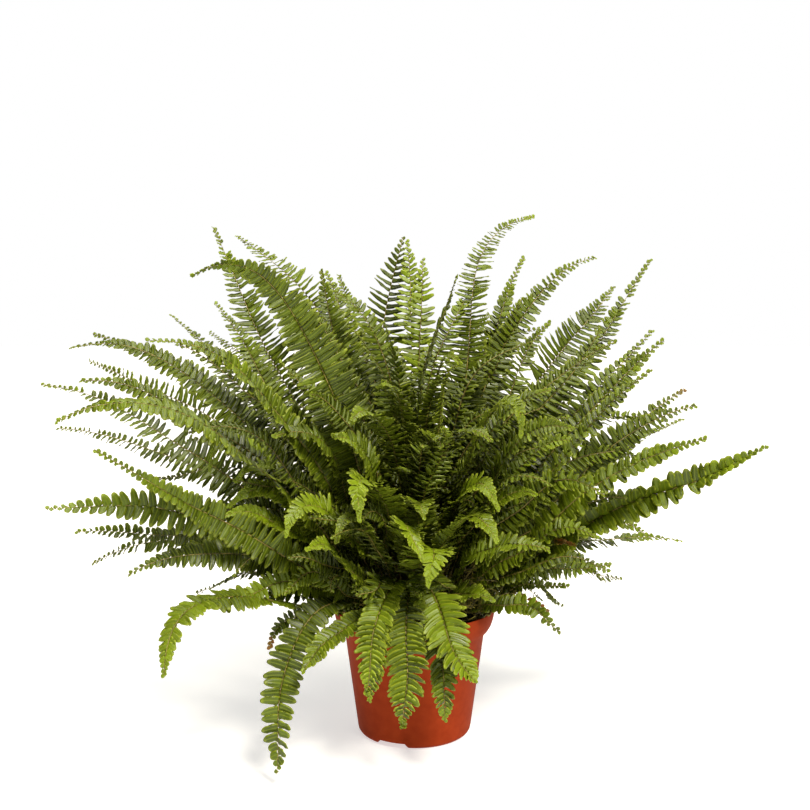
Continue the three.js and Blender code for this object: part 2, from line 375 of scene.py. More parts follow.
@dataclass(frozen=True)
class LeafletFinish:
    """Living fern leaflet: a thin waxy skin over soft green tissue, lit partly through.

    The eye sees a whitish sheen, a paler midvein with side veins that slant forward,
    yellowish edges and tips brightened further by painted highlight, a paler underside,
    and young growth much yellower than old. Fronds deep in the plant get a darker tone,
    which is painted shade.
    """

    old: str = "#222e02"
    grown: str = "#4a5a04"
    young: str = "#7f960c"
    # rim and tip colour: a paler margin tint, made bright enough to stand for painted highlight
    edge: str = "#c6d23c"
    vein: str = "#84921e"
    under: str = "#66741c"
    dry: str = "#8a4a20"
    seen_through: float = 0.16
    # refraction of its waxy skin
    ior: float = 1.45
    patch_mm: float = 12.0
    patchiness: float = 0.5
    # roughness in the shiniest and in the dullest patches, and where the noise has them
    roughness: tuple[float, float] = (0.3, 0.48)
    noise_span: tuple[float, float] = (0.3, 0.7)
    vein_depth_mm: float = 0.4
    # side veins: how many, how far they slant, and how narrow their crests are
    side_veins: float = 11.0
    slant: float = -1.3
    narrowness: float = 4.0
    # the most that each layer covers of the green under it
    midvein_share: float = 0.6
    side_vein_share: float = 0.25
    rim_share: float = 0.66
    tip_share: float = 0.45
    under_share: float = 0.4
    # where they begin and end, from 0 on the midvein to 1 on an edge or at the tip
    midvein_ends: tuple[float, float] = (0.05, 0.17)
    rim_start: float = 0.62
    tip_start: float = 0.75
    # edges, which carry painted highlight, are fainter on old and on shade-darkened leaflets, and
    # full from this much youth on
    old_edges: float = 0.25
    lively: float = 0.7

    def material(self) -> bpy.types.Material:
        """Builds the node material.

        Returns:
            The material, which reads the fields vigour, dryness and underside and
            the leaflet's UV map: U along the leaflet and V across it. The first is the
            tissue's youth together with painted shade.
        """
        made = bpy.data.materials.new("living_leaflet")
        tree = empty_tree(made)
        vigour, dryness, underside = (
            add_node(tree, "ShaderNodeAttribute", attribute_name=n).outputs["Fac"]
            for n in Surface.FIELDS
        )
        place = add_node(tree, "ShaderNodeUVMap", uv_map="UVMap")
        along, across, _ = add_node(tree, "ShaderNodeSeparateXYZ", {0: place}).outputs
        # 0 on the midvein and 1 on the edges
        centred = add_node(tree, MATH, {0: across, 1: 2.0, 2: -1.0}, operation="MULTIPLY_ADD")
        from_vein = add_node(tree, MATH, {0: centred}, operation="ABSOLUTE")
        # patches of lighter and darker tissue
        spot = add_node(tree, "ShaderNodeTexCoord").outputs["Object"]
        patches = add_node(
            tree,
            "ShaderNodeTexNoise",
            {"Vector": spot, "Scale": 1 / (self.patch_mm * MM), "Detail": 2.0},
        )
        half = self.patchiness / 2
        uneven = add_node(
            tree, MATH, {0: patches, 1: self.patchiness, 2: -half}, operation="MULTIPLY_ADD"
        )
        # tone: the tissue's youth, set lower on fronds deep in the plant as painted shade, plus the
        # patches
        tone = add_node(tree, MATH, {0: vigour, 1: uneven}, operation="ADD")
        shades = [(0.0, self.old), (0.5, self.grown), (1.0, self.young)]
        green = add_node(tree, "ShaderNodeValToRGB", {0: tone}, stops=shades)
        # side veins: narrow crests of waves along the leaflet that slant towards its tip
        turns = add_node(tree, MATH, {0: along, 1: self.side_veins}, operation="MULTIPLY")
        slanted = add_node(
            tree, MATH, {0: from_vein, 1: self.slant, 2: turns}, operation="MULTIPLY_ADD"
        )
        phase = add_node(tree, MATH, {0: slanted, 1: math.tau}, operation="MULTIPLY")
        wave = add_node(tree, MATH, {0: phase}, operation="SINE")
        crest = add_node(tree, MATH, {0: wave, 1: 0.0}, operation="MAXIMUM")
        narrow = add_node(tree, MATH, {0: crest, 1: self.narrowness}, operation="POWER")
        side_vein = add_node(
            tree, MATH, {0: narrow, 1: self.side_vein_share}, operation="MULTIPLY"
        )
        inner, outer = self.midvein_ends
        midvein = add_node(
            tree, RANGE, {0: from_vein, 1: inner, 2: outer, 3: self.midvein_share, 4: 0.0}
        )
        veins = add_node(tree, MATH, {0: midvein, 1: side_vein}, operation="MAXIMUM")
        # yellowish rim and tip: partly the margin's own paler tint, partly painted highlight
        rim, tip = (
            add_node(tree, RANGE, {0: place, 1: begin, 2: 1.0, 3: 0.0, 4: most})
            for place, begin, most in (
                (from_vein, self.rim_start, self.rim_share),
                (along, self.tip_start, self.tip_share),
            )
        )
        edges = add_node(tree, MATH, {0: rim, 1: tip}, operation="MAXIMUM")
        lively = add_node(
            tree, RANGE, {0: vigour, 1: 0.0, 2: self.lively, 3: self.old_edges, 4: 1.0}
        )
        edges = add_node(tree, MATH, {0: edges, 1: lively}, operation="MULTIPLY")
        paler = add_node(tree, MATH, {0: underside, 1: self.under_share}, operation="MULTIPLY")
        colour = green.outputs[0]
        for share, code in (
            (veins, self.vein),
            (edges, self.edge),
            (paler, self.under),
            (dryness, self.dry),
        ):
            layered = add_node(
                tree, MIX, {0: share, 6: colour, 7: linear(code)}, data_type="RGBA"
            )
            colour = layered.outputs[2]
        span = dict(enumerate(self.noise_span + self.roughness, 1))
        sheen = add_node(tree, RANGE, {0: patches} | span)
        bump = add_node(
            tree,
            "ShaderNodeBump",
            {"Height": veins, "Strength": 0.5, "Distance": self.vein_depth_mm * MM},
            invert=True,
        )
        skin = add_node(
            tree,
            PRINCIPLED,
            {
                "Base Color": colour,
                "Roughness": sheen,
                "IOR": self.ior,
                "Specular IOR Level": 0.5,
                "Normal": bump,
            },
        )
        glow = add_node(tree, "ShaderNodeBsdfTranslucent", {"Color": colour})
        both = add_node(tree, "ShaderNodeMixShader", {0: self.seen_through, 1: skin, 2: glow})
        add_node(tree, "ShaderNodeOutputMaterial", {"Surface": both})
        return made


@dataclass(frozen=True)
class PlainFinish:
    """A rough natural or moulded surface: two colours mixed by noise, with its bump.

    The noise is as coarse as its size in millimetres says, on Object coordinates. It turns
    from dark to light between low and high.
    """

    name: str
    dark: str
    light: str
    size_mm: float
    roughness: float
    bump_mm: float
    detail: float = 5.0
    low: float = 0.35
    high: float = 0.65
    gloss: float = 0.5
    glow: float = 0.0

    def material(self) -> bpy.types.Material:
        """Builds the node material.

        Returns:
            The material.
        """
        made = bpy.data.materials.new(self.name)
        tree = empty_tree(made)
        spot = add_node(tree, "ShaderNodeTexCoord").outputs["Object"]
        noise = add_node(
            tree,
            "ShaderNodeTexNoise",
            {"Vector": spot, "Scale": 1 / (self.size_mm * MM), "Detail": self.detail},
        )
        shades = [(self.low, self.dark), (self.high, self.light)]
        colour = add_node(tree, "ShaderNodeValToRGB", {0: noise}, stops=shades)
        bump = add_node(
            tree,
            "ShaderNodeBump",
            {"Height": noise, "Strength": 1.0, "Distance": self.bump_mm * MM},
        )
        skin = add_node(
            tree,
            PRINCIPLED,
            {
                "Base Color": colour,
                "Roughness": self.roughness,
                "Specular IOR Level": self.gloss,
                "Normal": bump,
                "Emission Color": (1.0, 1.0, 1.0, 1.0),
                "Emission Strength": self.glow,
            },
        )
        add_node(tree, "ShaderNodeOutputMaterial", {"Surface": skin})
        return made


# Peat: milled fibrous sphagnum, almost black when moist, with browner crumbs.
PEAT = PlainFinish("moist_peat", "#0b0806", "#2b1f14", 2.2, 0.95, 0.8)
# Rootstock: corky brown scales, each a few millimetres long.
SCALES = PlainFinish("rootstock_scales", "#2a1b0c", "#6b4d26", 2.0, 0.85, 0.6)
# Runner: wiry tan stolon with a fuzz of fine scales.
RUNNER = PlainFinish("wiry_runner", "#2e2a0a", "#8e8428", 7.0, 0.7, 0.1, low=0.4)
# Midrib: smooth olive stalk, browner in patches where it carries scales.
MIDRIB = PlainFinish("frond_midrib", "#5a4c1c", "#a2924a", 9.0, 0.5, 0.05)
# Terracotta-coloured polypropylene, injection moulded: even, satin, faintly cloudy.
POLYPROPYLENE = PlainFinish(
    "moulded_polypropylene", "#8a3012", "#943616", 9.0, 0.62, 0.02, gloss=0.03
)
# Floor: matt pale studio board, lit from below as well, which makes its shadows faint.
BOARD = PlainFinish("studio_board", "#cdcdca", "#d2d2cf", 400.0, 0.9, 0.0, glow=0.6)


# ---------------------------------------------------------------- the line of a frond


class Side(Enum):
    """The side of the midrib that a leaflet grows on, as seen from the crown."""

    LEFT = 1
    RIGHT = -1


@dataclass
class Spine:
    """A frond's midrib as a fine line, with the blade's directions at each point."""

    line: Array
    across: Array
    half_width: Array
    arc: Array = field(init=False)
    along: Array = field(init=False)
    upper: Array = field(init=False)

    SAMPLES = 241
    # the bare stalk's share of the length, and how far side fronds turn to the front
    STIPE_SHARE = 0.14
    TURN_TO_LIGHT = 58.0
    # corners of a CAD blade's rings, and how many of its rings the stalk has
    CORNERS = 4
    STIPE_RINGS = 4
    # waves: radians that each runs through, where they set in and where they are full
    WAVES = (9.0, 17.0, 6.0, 13.0)
    WAVES_FROM = 0.1
    WAVES_FULL = 0.5
    # how strong the quick wave is in the sway and in the roll, and the upward wave
    QUICK_IN_SWAY = 0.4
    QUICK_IN_ROLL = 0.6
    UPWARD = 0.6
    # croziers: angle that they roll through, share of their radius that they lose, and
    # half width of the blade on them, in radii and at least
    CROZIER_TURN = 2.5 * math.pi
    CROZIER_STEPS = 40
    CROZIER_LOSS = 0.67
    CROZIER_HALF = 1.1
    LEAST_CROZIER_HALF = 2.5
    # grown spines: handles as shares of the span and the sway, how fast the blade widens
    # from its base, as a power, and the outline's peak
    SEAT_HANDLE = 0.42
    SWAY_HANDLE = 0.45
    BASE_POWER = 6
    OUTLINE_PEAK = 0.9
    LEAST_HALF = 0.8

    def __post_init__(self) -> None:
        """Works out the arc length, the tangents and the leaf's upper side."""
        self.arc = arc_lengths(self.line)
        self.along = unit(np.gradient(self.line, axis=0))
        self.across = square_to(self.across, self.along)
        self.upper = np.cross(self.along, self.across)

    @property
    def length(self) -> float:
        """Length of the whole midrib in millimetres."""
        return float(self.arc[-1])

    def at(self, values: Array, places: Array) -> Array:
        """Reads values off the line.

        Args:
            values: one value or vector for each of the line's points.
            places: distances along the line.

        Returns:
            The values there.
        """
        if values.ndim == 1:
            return np.interp(places, self.arc, values)
        return np.stack([np.interp(places, self.arc, v) for v in values.T], -1)

    def swayed(
        self,
        chance: np.random.Generator,
        sideways: float,
        roll: float,
        tilt: float,
        back: float = 0.0,
    ) -> "Spine":
        """The spine with the slight waves and the winding that a real midrib has.

        Args:
            chance: the source of its waves.
            sideways: how far it strays in millimetres.
            roll: how far the blade winds about it in degrees.
            tilt: how far the whole blade may be tilted about it in degrees.
            back: how far a blade at the side is turned back from the light in degrees.

        Returns:
            The line moved across by two sines and upwards by one, and the blade turned by
            two and by its tilt, all of them growing from nothing at the crown.
        """
        share = self.arc / self.length
        grown = smooth_step(share, self.WAVES_FROM, self.WAVES_FULL)
        phase = chance.uniform(0, math.tau, len(self.WAVES))
        sway, quick, wind, rise = (
            np.sin(share * k + q) * grown for k, q in zip(self.WAVES, phase)
        )
        line = self.line + self.across * (sideways * (sway + self.QUICK_IN_SWAY * quick))[:, None]
        line = line + self.upper * (self.UPWARD * sideways * rise)[:, None]
        turned = np.radians(roll) * (wind + self.QUICK_IN_ROLL * quick)
        turned = turned + np.radians(tilt) * chance.uniform(-1, 1) * grown
        to_side = unit((self.line[-1] - self.line[0]) * [1, 1, 0])[0]
        turned = turned - np.radians(back) * to_side * grown
        return Spine(line, turn(self.across, self.along, turned), self.half_width)

    def turned(self, angle: float) -> "Spine":
        """The same spine with its blade turned about it by an angle in degrees."""
        across = turn(self.across, self.along, math.radians(angle))
        return Spine(self.line, across, self.half_width)

    def curled(self, radius: float) -> "Spine":
        """The spine with a crozier: its tip rolled up towards the leaf's upper side.

        Args:
            radius: radius that the roll starts with, in millimetres.

        Returns:
            The line, carried on by steps of radius times angle, whose direction turns by
            the angle and whose radius shrinks to a third in one and a quarter turns.
        """
        angle = np.linspace(0, self.CROZIER_TURN, self.CROZIER_STEPS)[1:, None]
        shrunk = radius * (1 - self.CROZIER_LOSS * angle / angle[-1])
        way = self.along[-1] * np.cos(angle) + self.upper[-1] * np.sin(angle)
        roll = self.line[-1] + np.cumsum(way * shrunk * angle[0], axis=0)
        across = np.broadcast_to(self.across[-1], roll.shape)
        half = np.full(len(roll), max(self.CROZIER_HALF * radius, self.LEAST_CROZIER_HALF))
        return Spine(
            np.concatenate([self.line, roll]),
            np.concatenate([self.across, across]),
            np.concatenate([np.maximum(self.half_width, half[0]), half]),
        )

    @classmethod
    def of_node(cls, node: bpy.types.Object) -> "Spine":
        """Reads the line, the directions and the outline off a CAD blade.

        The blade is a chain of four-cornered rings. The ring at the crown holds the four
        points nearest the crown's centre, and each next ring holds the points that share
        an edge with the last. In a ring, the corner furthest from its centre lies across.

        Args:
            node: the CAD node of the frond.

        Returns:
            The spine.
        """
        mesh = node.data
        flat = np.empty(len(mesh.vertices) * 3, np.float32)
        mesh.vertices.foreach_get("co", flat)
        every = np.round(flat.reshape(-1, 3).astype(float) / MM, 2)
        points, number = np.unique(every, axis=0, return_inverse=True)
        corners = np.empty(len(mesh.loops), np.int32)
        mesh.loops.foreach_get("vertex_index", corners)
        triangles = number.ravel()[corners].reshape(-1, 3)
        edges = np.concatenate([triangles[:, [i, (i + 1) % 3]] for i in range(3)])
        edges = np.concatenate([edges, edges[:, ::-1]])
        ring_of = np.full(len(points), -1)
        nearest = np.argsort(np.linalg.norm(points - Crown.centre, axis=1))
        ring_of[nearest[: cls.CORNERS]] = 0
        ring = 0
        while (ring_of < 0).any():
            reached = edges[ring_of[edges[:, 0]] == ring, 1]
            ring_of[reached[ring_of[reached] < 0]] = ring + 1
            ring += 1
        rings = points[np.argsort(ring_of, kind="stable")].reshape(-1, cls.CORNERS, 3)
        centre = rings.mean(axis=1)
        spread = rings - centre[:, None]
        reach = np.linalg.norm(spread, axis=2)
        widest = spread[np.arange(len(rings)), reach.argmax(axis=1)]
        heading = centre[-1] - centre[0]
        left = np.cross(UP, heading * [1, 1, 0])
        widest = unit(widest * np.sign(widest @ left)[:, None])
        # on the stipe, which is square, no corner lies further out than the others
        widest[: cls.STIPE_RINGS] = widest[cls.STIPE_RINGS]
        widest[-1] = widest[-2]
        half = reach.max(axis=1)
        half[: cls.STIPE_RINGS - 1] = half[cls.STIPE_RINGS - 1]
        arc = arc_lengths(centre)
        wanted = np.linspace(0, arc[-1], cls.SAMPLES)
        return cls(*(through(values, arc, wanted) for values in (centre, widest, half)))

    @classmethod
    def grown(
        cls,
        azimuth: float,
        rise: float,
        reach: float,
        height: float,
        tip_slope: float,
        width: float,
        sway: float,
        fullness: float,
        hook: float = 0.32,
    ) -> "Spine":
        """A spine from its driving sizes, drawn as the CAD blades are.

        It leaves the crown square to it and is one cubic curve to the tip.

        Args:
            azimuth: direction that the frond grows in, degrees from +X.
            rise: slope that it leaves the crown with, degrees.
            reach: distance of its tip from the pot's axis.
            height: height of its tip.
            tip_slope: slope at its tip, degrees.
            width: greatest width of the blade.
            sway: how far its tip lies to the left of its azimuth.
            fullness: how long the blade stays wide: the power in its outline.
            hook: how far from its tip it turns towards the slope there, as a share of
                its span.

        Returns:
            The spine.
        """
        turned = math.radians(azimuth)
        out, left = level_ways(turned)
        first, last = (
            out * math.cos(math.radians(a)) + UP * math.sin(math.radians(a))
            for a in (rise, tip_slope)
        )
        start = Crown.seat(first)
        end = out * reach + UP * height
        span = np.linalg.norm(end - start)
        second = start + first * cls.SEAT_HANDLE * span
        third = end - last * hook * span + left * cls.SWAY_HANDLE * sway
        end = end + left * sway
        t = np.linspace(0, 1, cls.SAMPLES)[:, None]
        line = (
            start * (1 - t) ** 3
            + second * 3 * t * (1 - t) ** 2
            + third * 3 * t * t * (1 - t)
            + end * t**3
        )
        along = unit(np.gradient(line, axis=0))
        across = square_to(np.broadcast_to(left, along.shape), along)
        across = turn(across, along, math.radians(cls.TURN_TO_LIGHT) * math.cos(turned))
        arc = arc_lengths(line)
        v = np.clip((arc / arc[-1] - cls.STIPE_SHARE) / (1 - cls.STIPE_SHARE), 0, 1)
        widened = 1 - (1 - v) ** cls.BASE_POWER
        half = width / 2 * (1 - v**fullness) * widened / cls.OUTLINE_PEAK
        return cls(line, across, np.maximum(half, cls.LEAST_HALF))


# ---------------------------------------------------------------- fronds


@dataclass(frozen=True)
class Growth:
    """How a frond has grown, which its leaflets show.

    vigour is 0 on old dark fronds and 1 on young yellow-green ones; fronds deep
    in the plant are given less, which darkens them as painted shade. lift raises the
    leaflets' tips over the blade in degrees, droop lets them hang, and twist turns their
    front edges up in degrees. lean is their angle to the midrib, and sickle bends them
    on towards its tip. pitch is the distance between two leaflets of one side, breadth
    a leaflet's width in pitches and spread its length in half widths of the blade.
    taper is the share of it that they lose towards the frond's tip. bluntness is low on
    tapering leaflets and high on oblong ones. ruffle is how far their edges wave in
    millimetres, crozier the radius of the rolled tip, and dry the share of the frond's
    tip that has dried. winding is how much the frond tilts and folds by chance, from 0
    on one that hangs to 1 on one that spreads, and turned the angle in degrees that its
    blade is turned by about its midrib.
    """

    vigour: float = 0.42
    lift: float = 4.0
    droop: float = 0.16
    twist: float = 22.0
    lean: float = 86.0
    sickle: float = 0.1
    pitch: float = 6.0
    breadth: float = 1.12
    spread: float = 1.0
    taper: float = 0.0
    bluntness: float = 2.6
    ruffle: float = 0.55
    crozier: float = 0.0
    dry: float = 0.0
    winding: float = 1.0
    turned: float = 0.0


@dataclass
class Row:
    """The leaflets of a frond: each field has one entry for each leaflet.

    base is where it joins the midrib, outward the direction that it starts in, forward
    that of the frond's tip and upper its upper side. side is 1 on the left and -1 on the
    right. wind is the angle in radians that its tip winds by, and phase that of the waves
    of its edges.
    """

    base: Array
    outward: Array
    forward: Array
    upper: Array
    side: Array
    length: Array
    width: Array
    droop: Array
    wind: Array
    phase: Array
    bluntness: Array


@dataclass(frozen=True)
class Leaflet:
    """The shape of one leaflet as a thin closed shell, on a grid along and across it.

    Places along it are shares of its length, and those across it of its half width.
    """

    thickness: float = 0.32
    fold: float = 0.2
    rolled_edge: float = 0.26
    ear: float = 0.42
    ear_place: float = 0.1
    ear_length: float = 0.08
    # outline: where it starts to taper, how much it loses and how round it is
    straight: float = 0.08
    loss: float = 0.94
    roundness: float = 0.55
    base_width: float = 0.85
    widening: float = 0.15
    # waves of the edges: radians that they run through along and across, and where full
    beat: float = 11.0
    beat_across: float = 2.0
    waves_full: float = 0.3
    rows: tuple[float, ...] = (0.0, 0.09, 0.28, 0.5, 0.72, 0.91, 1.0)
    columns: tuple[float, ...] = (-1.0, -0.55, 0.0, 0.55, 1.0)

    def faces(self) -> tuple[Array, int]:
        """Faces of one shell: an upper and a lower grid that share their rim.

        Returns:
            The faces' corner numbers and the number of points of a shell.
        """
        n, m = len(self.rows), len(self.columns)
        upper = np.arange(n * m).reshape(n, m)
        lower = upper.copy()
        inside = (n - 2) * (m - 2)
        lower[1:-1, 1:-1] = n * m + np.arange(inside).reshape(n - 2, m - 2)
        sheets = [
            np.stack([k[:-1, :-1], k[1:, :-1], k[1:, 1:], k[:-1, 1:]], -1).reshape(-1, 4)
            for k in (upper, lower)
        ]
        return np.concatenate([sheets[0], sheets[1][:, ::-1]]), n * m + inside

    def half_outline(self, bluntness: Array) -> Array:
        """Half width along the leaflets, as a share of the greatest.

        Args:
            bluntness: that of each leaflet: 1.5 tapers evenly and 4 is oblong.

        Returns:
            For each leaflet and row, the root of one less the way from the base to the
            power of the bluntness, a little narrower right at the base.
        """
        u = np.array(self.rows)
        way = np.maximum(u - self.straight, 0)[None] / (1 - self.straight)
        taper = 1 - self.loss * way ** bluntness[:, None]
        base = self.base_width + self.widening * smooth_step(u, 0.0, self.ear_place)
        return base * taper**self.roundness

    def grow(self, row: Row, growth: Growth) -> tuple[Array, Array, Array]:
        """All the leaflets of a frond at once.

        A leaflet's line starts outward, bends towards the frond's tip like a sickle and
        down with gravity. Square to it the leaf is folded along its midvein, its edges
        roll down and wave. An ear widens its base on the side of the frond's tip. Towards
        its own tip it winds a little about its line.

        Args:
            row: where and how they stand.
            growth: how the frond has grown.

        Returns:
            The points, their UV and their side: 0 above and 1 below.
        """
        u, v = np.array(self.rows), np.array(self.columns)
        bend = 2 * growth.sickle * row.forward[:, None] - row.droop[:, None, None] * UP
        way = unit(row.outward[:, None] + u[None, :, None] * bend)
        steps = (way[:, 1:] + way[:, :-1]) / 2 * np.diff(u)[None, :, None]
        start = np.zeros((len(row.base), 1, 3))
        path = np.concatenate([start, np.cumsum(steps, axis=1)], axis=1)
        path = row.base[:, None] + path * row.length[:, None, None]
        normal = square_to(np.broadcast_to(row.upper[:, None], way.shape), way)
        normal = turn(normal, way, row.wind[:, None] * u[None])
        wide = np.cross(normal, way)
        half = self.half_outline(row.bluntness) * row.width[:, None] / 2
        near_tip_side = np.maximum(-row.side[:, None] * v[None], 0.0)
        ear = self.ear * np.exp(-(((u - self.ear_place) / self.ear_length) ** 2))
        offset = half[:, :, None] * v * (1 + ear[None, :, None] * near_tip_side[:, None])
        height = half[:, :, None] * (self.fold * np.abs(v) - self.rolled_edge * v**4)
        beat = self.beat * u[None, :, None] + row.phase[:, None, None] + self.beat_across * v
        fade = smooth_step(u, 0.0, self.waves_full)[None, :, None] * v**2
        height = height + growth.ruffle * np.sin(beat) * fade
        thick = self.thickness / 2 * np.ones_like(offset)
        top = path[:, :, None] + wide[:, :, None] * offset[..., None]
        rise = height + np.where(np.abs(v) < 1, thick, 0.0)
        rise[:, [0, -1]] = height[:, [0, -1]]
        above = top + normal[:, :, None] * rise[..., None]
        below = top + normal[:, :, None] * (height - thick)[..., None]
        below = below[:, 1:-1, 1:-1]
        count = len(row.base)
        points = np.concatenate([above.reshape(count, -1, 3), below.reshape(count, -1, 3)], 1)
        uv = np.stack(np.meshgrid(u, (v + 1) / 2, indexing="ij"), -1)
        uv = np.concatenate([uv.reshape(-1, 2), uv[1:-1, 1:-1].reshape(-1, 2)])
        under = np.concatenate([np.zeros(len(u) * len(v)), np.ones(below[0, ..., 0].size)])
        return points, np.tile(uv, (count, 1)), np.tile(under, count)


FULL_LEAFLET = Leaflet()
# the hidden fronds' leaflets have fewer faces
SPARE_LEAFLET = Leaflet(rows=(0.0, 0.12, 0.42, 0.78, 1.0), columns=(-1.0, 0.0, 1.0))


@dataclass(frozen=True)
class Unevenness:
    """How much a frond's leaflets differ: the spread of each size about its mean.

    Sizes that start with slow are those of slow waves along the frond.
    """

    # the share of them that are missing
    missing: float = 0.012
    place: float = 0.3
    length: float = 0.05
    width: float = 0.07
    lift: float = 6.0
    slow_lift: float = 7.0
    lean: float = 4.0
    slow_lean: float = 5.0
    twist: float = 8.0
    slow_twist: float = 14.0
    droop: float = 0.1
    wind: float = 20.0
    tone: float = 0.08
    slow_tone: float = 0.08
    # radians from a leaflet to the next: those of the slow and the slower waves, and of
    # the wave that both are multiplied by
    beats: tuple[float, float] = (0.29, 0.11)
    swell: float = 0.41


@dataclass
class Frond:
    """One frond: its midrib and its two rows of leaflets."""

    spine: Spine
    growth: Growth
    seed: int
    leaflet: Leaflet = FULL_LEAFLET
    uneven: Unevenness = Unevenness()

    # radius of the midrib at shares of its length
    midrib_radii: tuple[tuple[float, float], ...] = (
        (0.0, 1.4),
        (0.14, 0.8),
        (0.6, 0.42),
        (1.0, 0.25),
    )
    midrib_sides: int = 6
    midrib_steps: int = 64
    midrib_rise: float = 0.25
    midrib_in_crown: float = 3.0
    leaflet_rise: float = 0.1
    # the least length and width of a leaflet, and the most of its length that its width is
    least_length: float = 4.0
    least_width: float = 3.1
    most_width: float = 0.95
    # the blade: its bare start as a share of the length, its bare tip, and its steps
    bare_start: float = 0.01
    bare_tip: float = 0.5
    steps: int = 400
    # pitch where the blade is narrow, how much more it is where it is wide, and the
    # share of the greatest width that counts as wide
    narrow_pitch: float = 0.8
    more_pitch: float = 0.2
    wide: float = 0.55
    # what is added to the lean and the tone: so much times the share to a power
    lean_at_tip: tuple[tuple[float, int], ...] = ((-34, 5), (-20, 24))
    tone_at_tip: tuple[tuple[float, int], ...] = ((0.15, 3), (0.35, 24))
    tone_at_base: float = 0.22
    # leaflets are blunter from this share of the blade on
    blunter_at_tip: float = 2.0
    tip_from: float = 0.75
    # a dried tip: where it fades in and is full about its start, and how dry it is at least
    dry_before: float = 0.03
    dry_beyond: float = 0.05
    least_dry: float = 0.6

    def leaflets(self) -> Surface:
        """Places the leaflets by turns left and right along the blade.

        The distance between them shrinks with the blade's width towards the tip, so their
        number up to a point is the integral of one over that distance. The last ones are
        small and round like beads. They point forward near the tip. Their attitudes vary
        by chance and in slow waves, and a few are missing.

        Returns:
            The leaflets as one surface.
        """
        spine, growth, uneven = self.spine, self.growth, self.uneven
        chance = np.random.default_rng(self.seed)
        start = spine.length * (Spine.STIPE_SHARE + self.bare_start)
        fine = np.linspace(start, spine.length - self.bare_tip, self.steps)
        half = spine.at(spine.half_width, fine)
        wide = np.minimum(1, half / (self.wide * half.max()))
        pitch = growth.pitch * (self.narrow_pitch + self.more_pitch * wide)
        count = np.concatenate([[0], np.cumsum(np.diff(fine) / pitch[1:])])
        # a leaflet each half turn: those on the left lie midway between those on the right
        turns = np.arange(0.5, count[-1], 0.5)
        turns = turns[chance.random(len(turns)) > uneven.missing]
        many = len(turns)
        side = np.where(turns % 1 > 0.25, Side.LEFT.value, Side.RIGHT.value)
        place = np.interp(turns, count, fine) + chance.normal(0, uneven.place, many)
        share = np.clip((place - start) / (spine.length - start), 0, 1)
        slow, slower = (
            np.sin(turns * beat + chance.uniform(*PHASES))
            * np.sin(turns * uneven.swell + chance.uniform(*PHASES))
            for beat in uneven.beats
        )
        length = spine.at(spine.half_width, place) * growth.spread * (1 - growth.taper * share)
        length = length * chance.normal(1.0, uneven.length, many)
        length = np.maximum(length, self.least_length)
        width = np.interp(place, fine, pitch) * growth.breadth
        width = width * chance.normal(1.0, uneven.width, many)
        width = np.minimum(np.maximum(width, self.least_width), length * self.most_width)
        along = unit(spine.at(spine.along, place))
        across = unit(spine.at(spine.across, place)) * side[:, None]
        upper = unit(spine.at(spine.upper, place))
        lift = growth.lift + chance.normal(0, uneven.lift, many) + uneven.slow_lift * slower
        lift = np.radians(lift)[:, None]
        lean = growth.lean
        for degrees, power in self.lean_at_tip:
            lean = lean + degrees * share**power
        lean = lean + chance.normal(0, uneven.lean, many) + uneven.slow_lean * slow
        lean = np.radians(lean)[:, None]
        sideways = across * np.cos(lift) + upper * np.sin(lift)
        outward = unit(sideways * np.sin(lean) + along * np.cos(lean))
        face = square_to(upper, outward)
        twist = growth.twist + chance.normal(0, uneven.twist, many) + uneven.slow_twist * slow
        # the front edge goes up: about the leaflet's own line, the other way on each side
        face = turn(face, outward, side * np.radians(twist))
        row = Row(
            base=spine.at(spine.line, place) + upper * self.leaflet_rise,
            outward=outward,
            forward=along,
            upper=face,
            side=side,
            length=length,
            width=width,
            droop=growth.droop + chance.normal(0, uneven.droop, many),
            wind=np.radians(chance.normal(0, uneven.wind, many)),
            phase=chance.uniform(0, math.tau, many),
            bluntness=growth.bluntness
            + self.blunter_at_tip * smooth_step(share, self.tip_from, 1.0),
        )
        points, uv, under = self.leaflet.grow(row, growth)
        pattern, size = self.leaflet.faces()
        faces = (pattern[None] + (np.arange(many) * size)[:, None, None]).reshape(-1, 4)
        tone = growth.vigour
        for amount, power in self.tone_at_tip:
            tone = tone + amount * share**power
        tone = tone - self.tone_at_base * (1 - share) ** 2
        tone = tone + chance.normal(0, uneven.tone, many) + uneven.slow_tone * slower
        dry_from = 1 - growth.dry
        dried = smooth_step(share, dry_from - self.dry_before, dry_from + self.dry_beyond)
        dried = dried * (growth.dry > 0) * chance.uniform(self.least_dry, 1.0, many)
        tone, dried = np.repeat(tone, size), np.repeat(dried, size)
        return Surface.of(points.reshape(-1, 3), faces, uv, tone, dried, under)

    def midrib(self) -> Surface:
        """The stalk and midrib: a tapering tube that starts a little inside the crown.

        Returns:
            The tube, which has the second of the frond's materials.
        """
        spine = self.spine
        places = np.linspace(0, spine.length, self.midrib_steps)
        line = spine.at(spine.line, places) + spine.at(spine.upper, places) * self.midrib_rise
        line = np.concatenate([[line[0] - spine.along[0] * self.midrib_in_crown], line])
        shares = np.concatenate([[0], places / spine.length])
        radius = np.interp(shares, *np.array(self.midrib_radii).T)
        points, faces, uv = tube(line, radius, self.midrib_sides)
        return Surface.of(points, faces, uv, self.growth.vigour, finish=1)

    def build(self, name: str, materials: list[bpy.types.Material]) -> bpy.types.Object:
        """Makes the frond's object and sets it on its body.

        Args:
            name: the piece's name.
            materials: leaflet and midrib material.

        Returns:
            The object.
        """
        if self.growth.crozier > 0:
            self.spine = self.spine.curled(self.growth.crozier)
        surface = Surface.joined([self.leaflets(), self.midrib()])
        surface.points = Pot.kept_clear(surface.points)
        made = surface.to_object(name, materials)
        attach(made, BODY)
        return made


# ---------------------------------------------------------------- pot, peat and crown


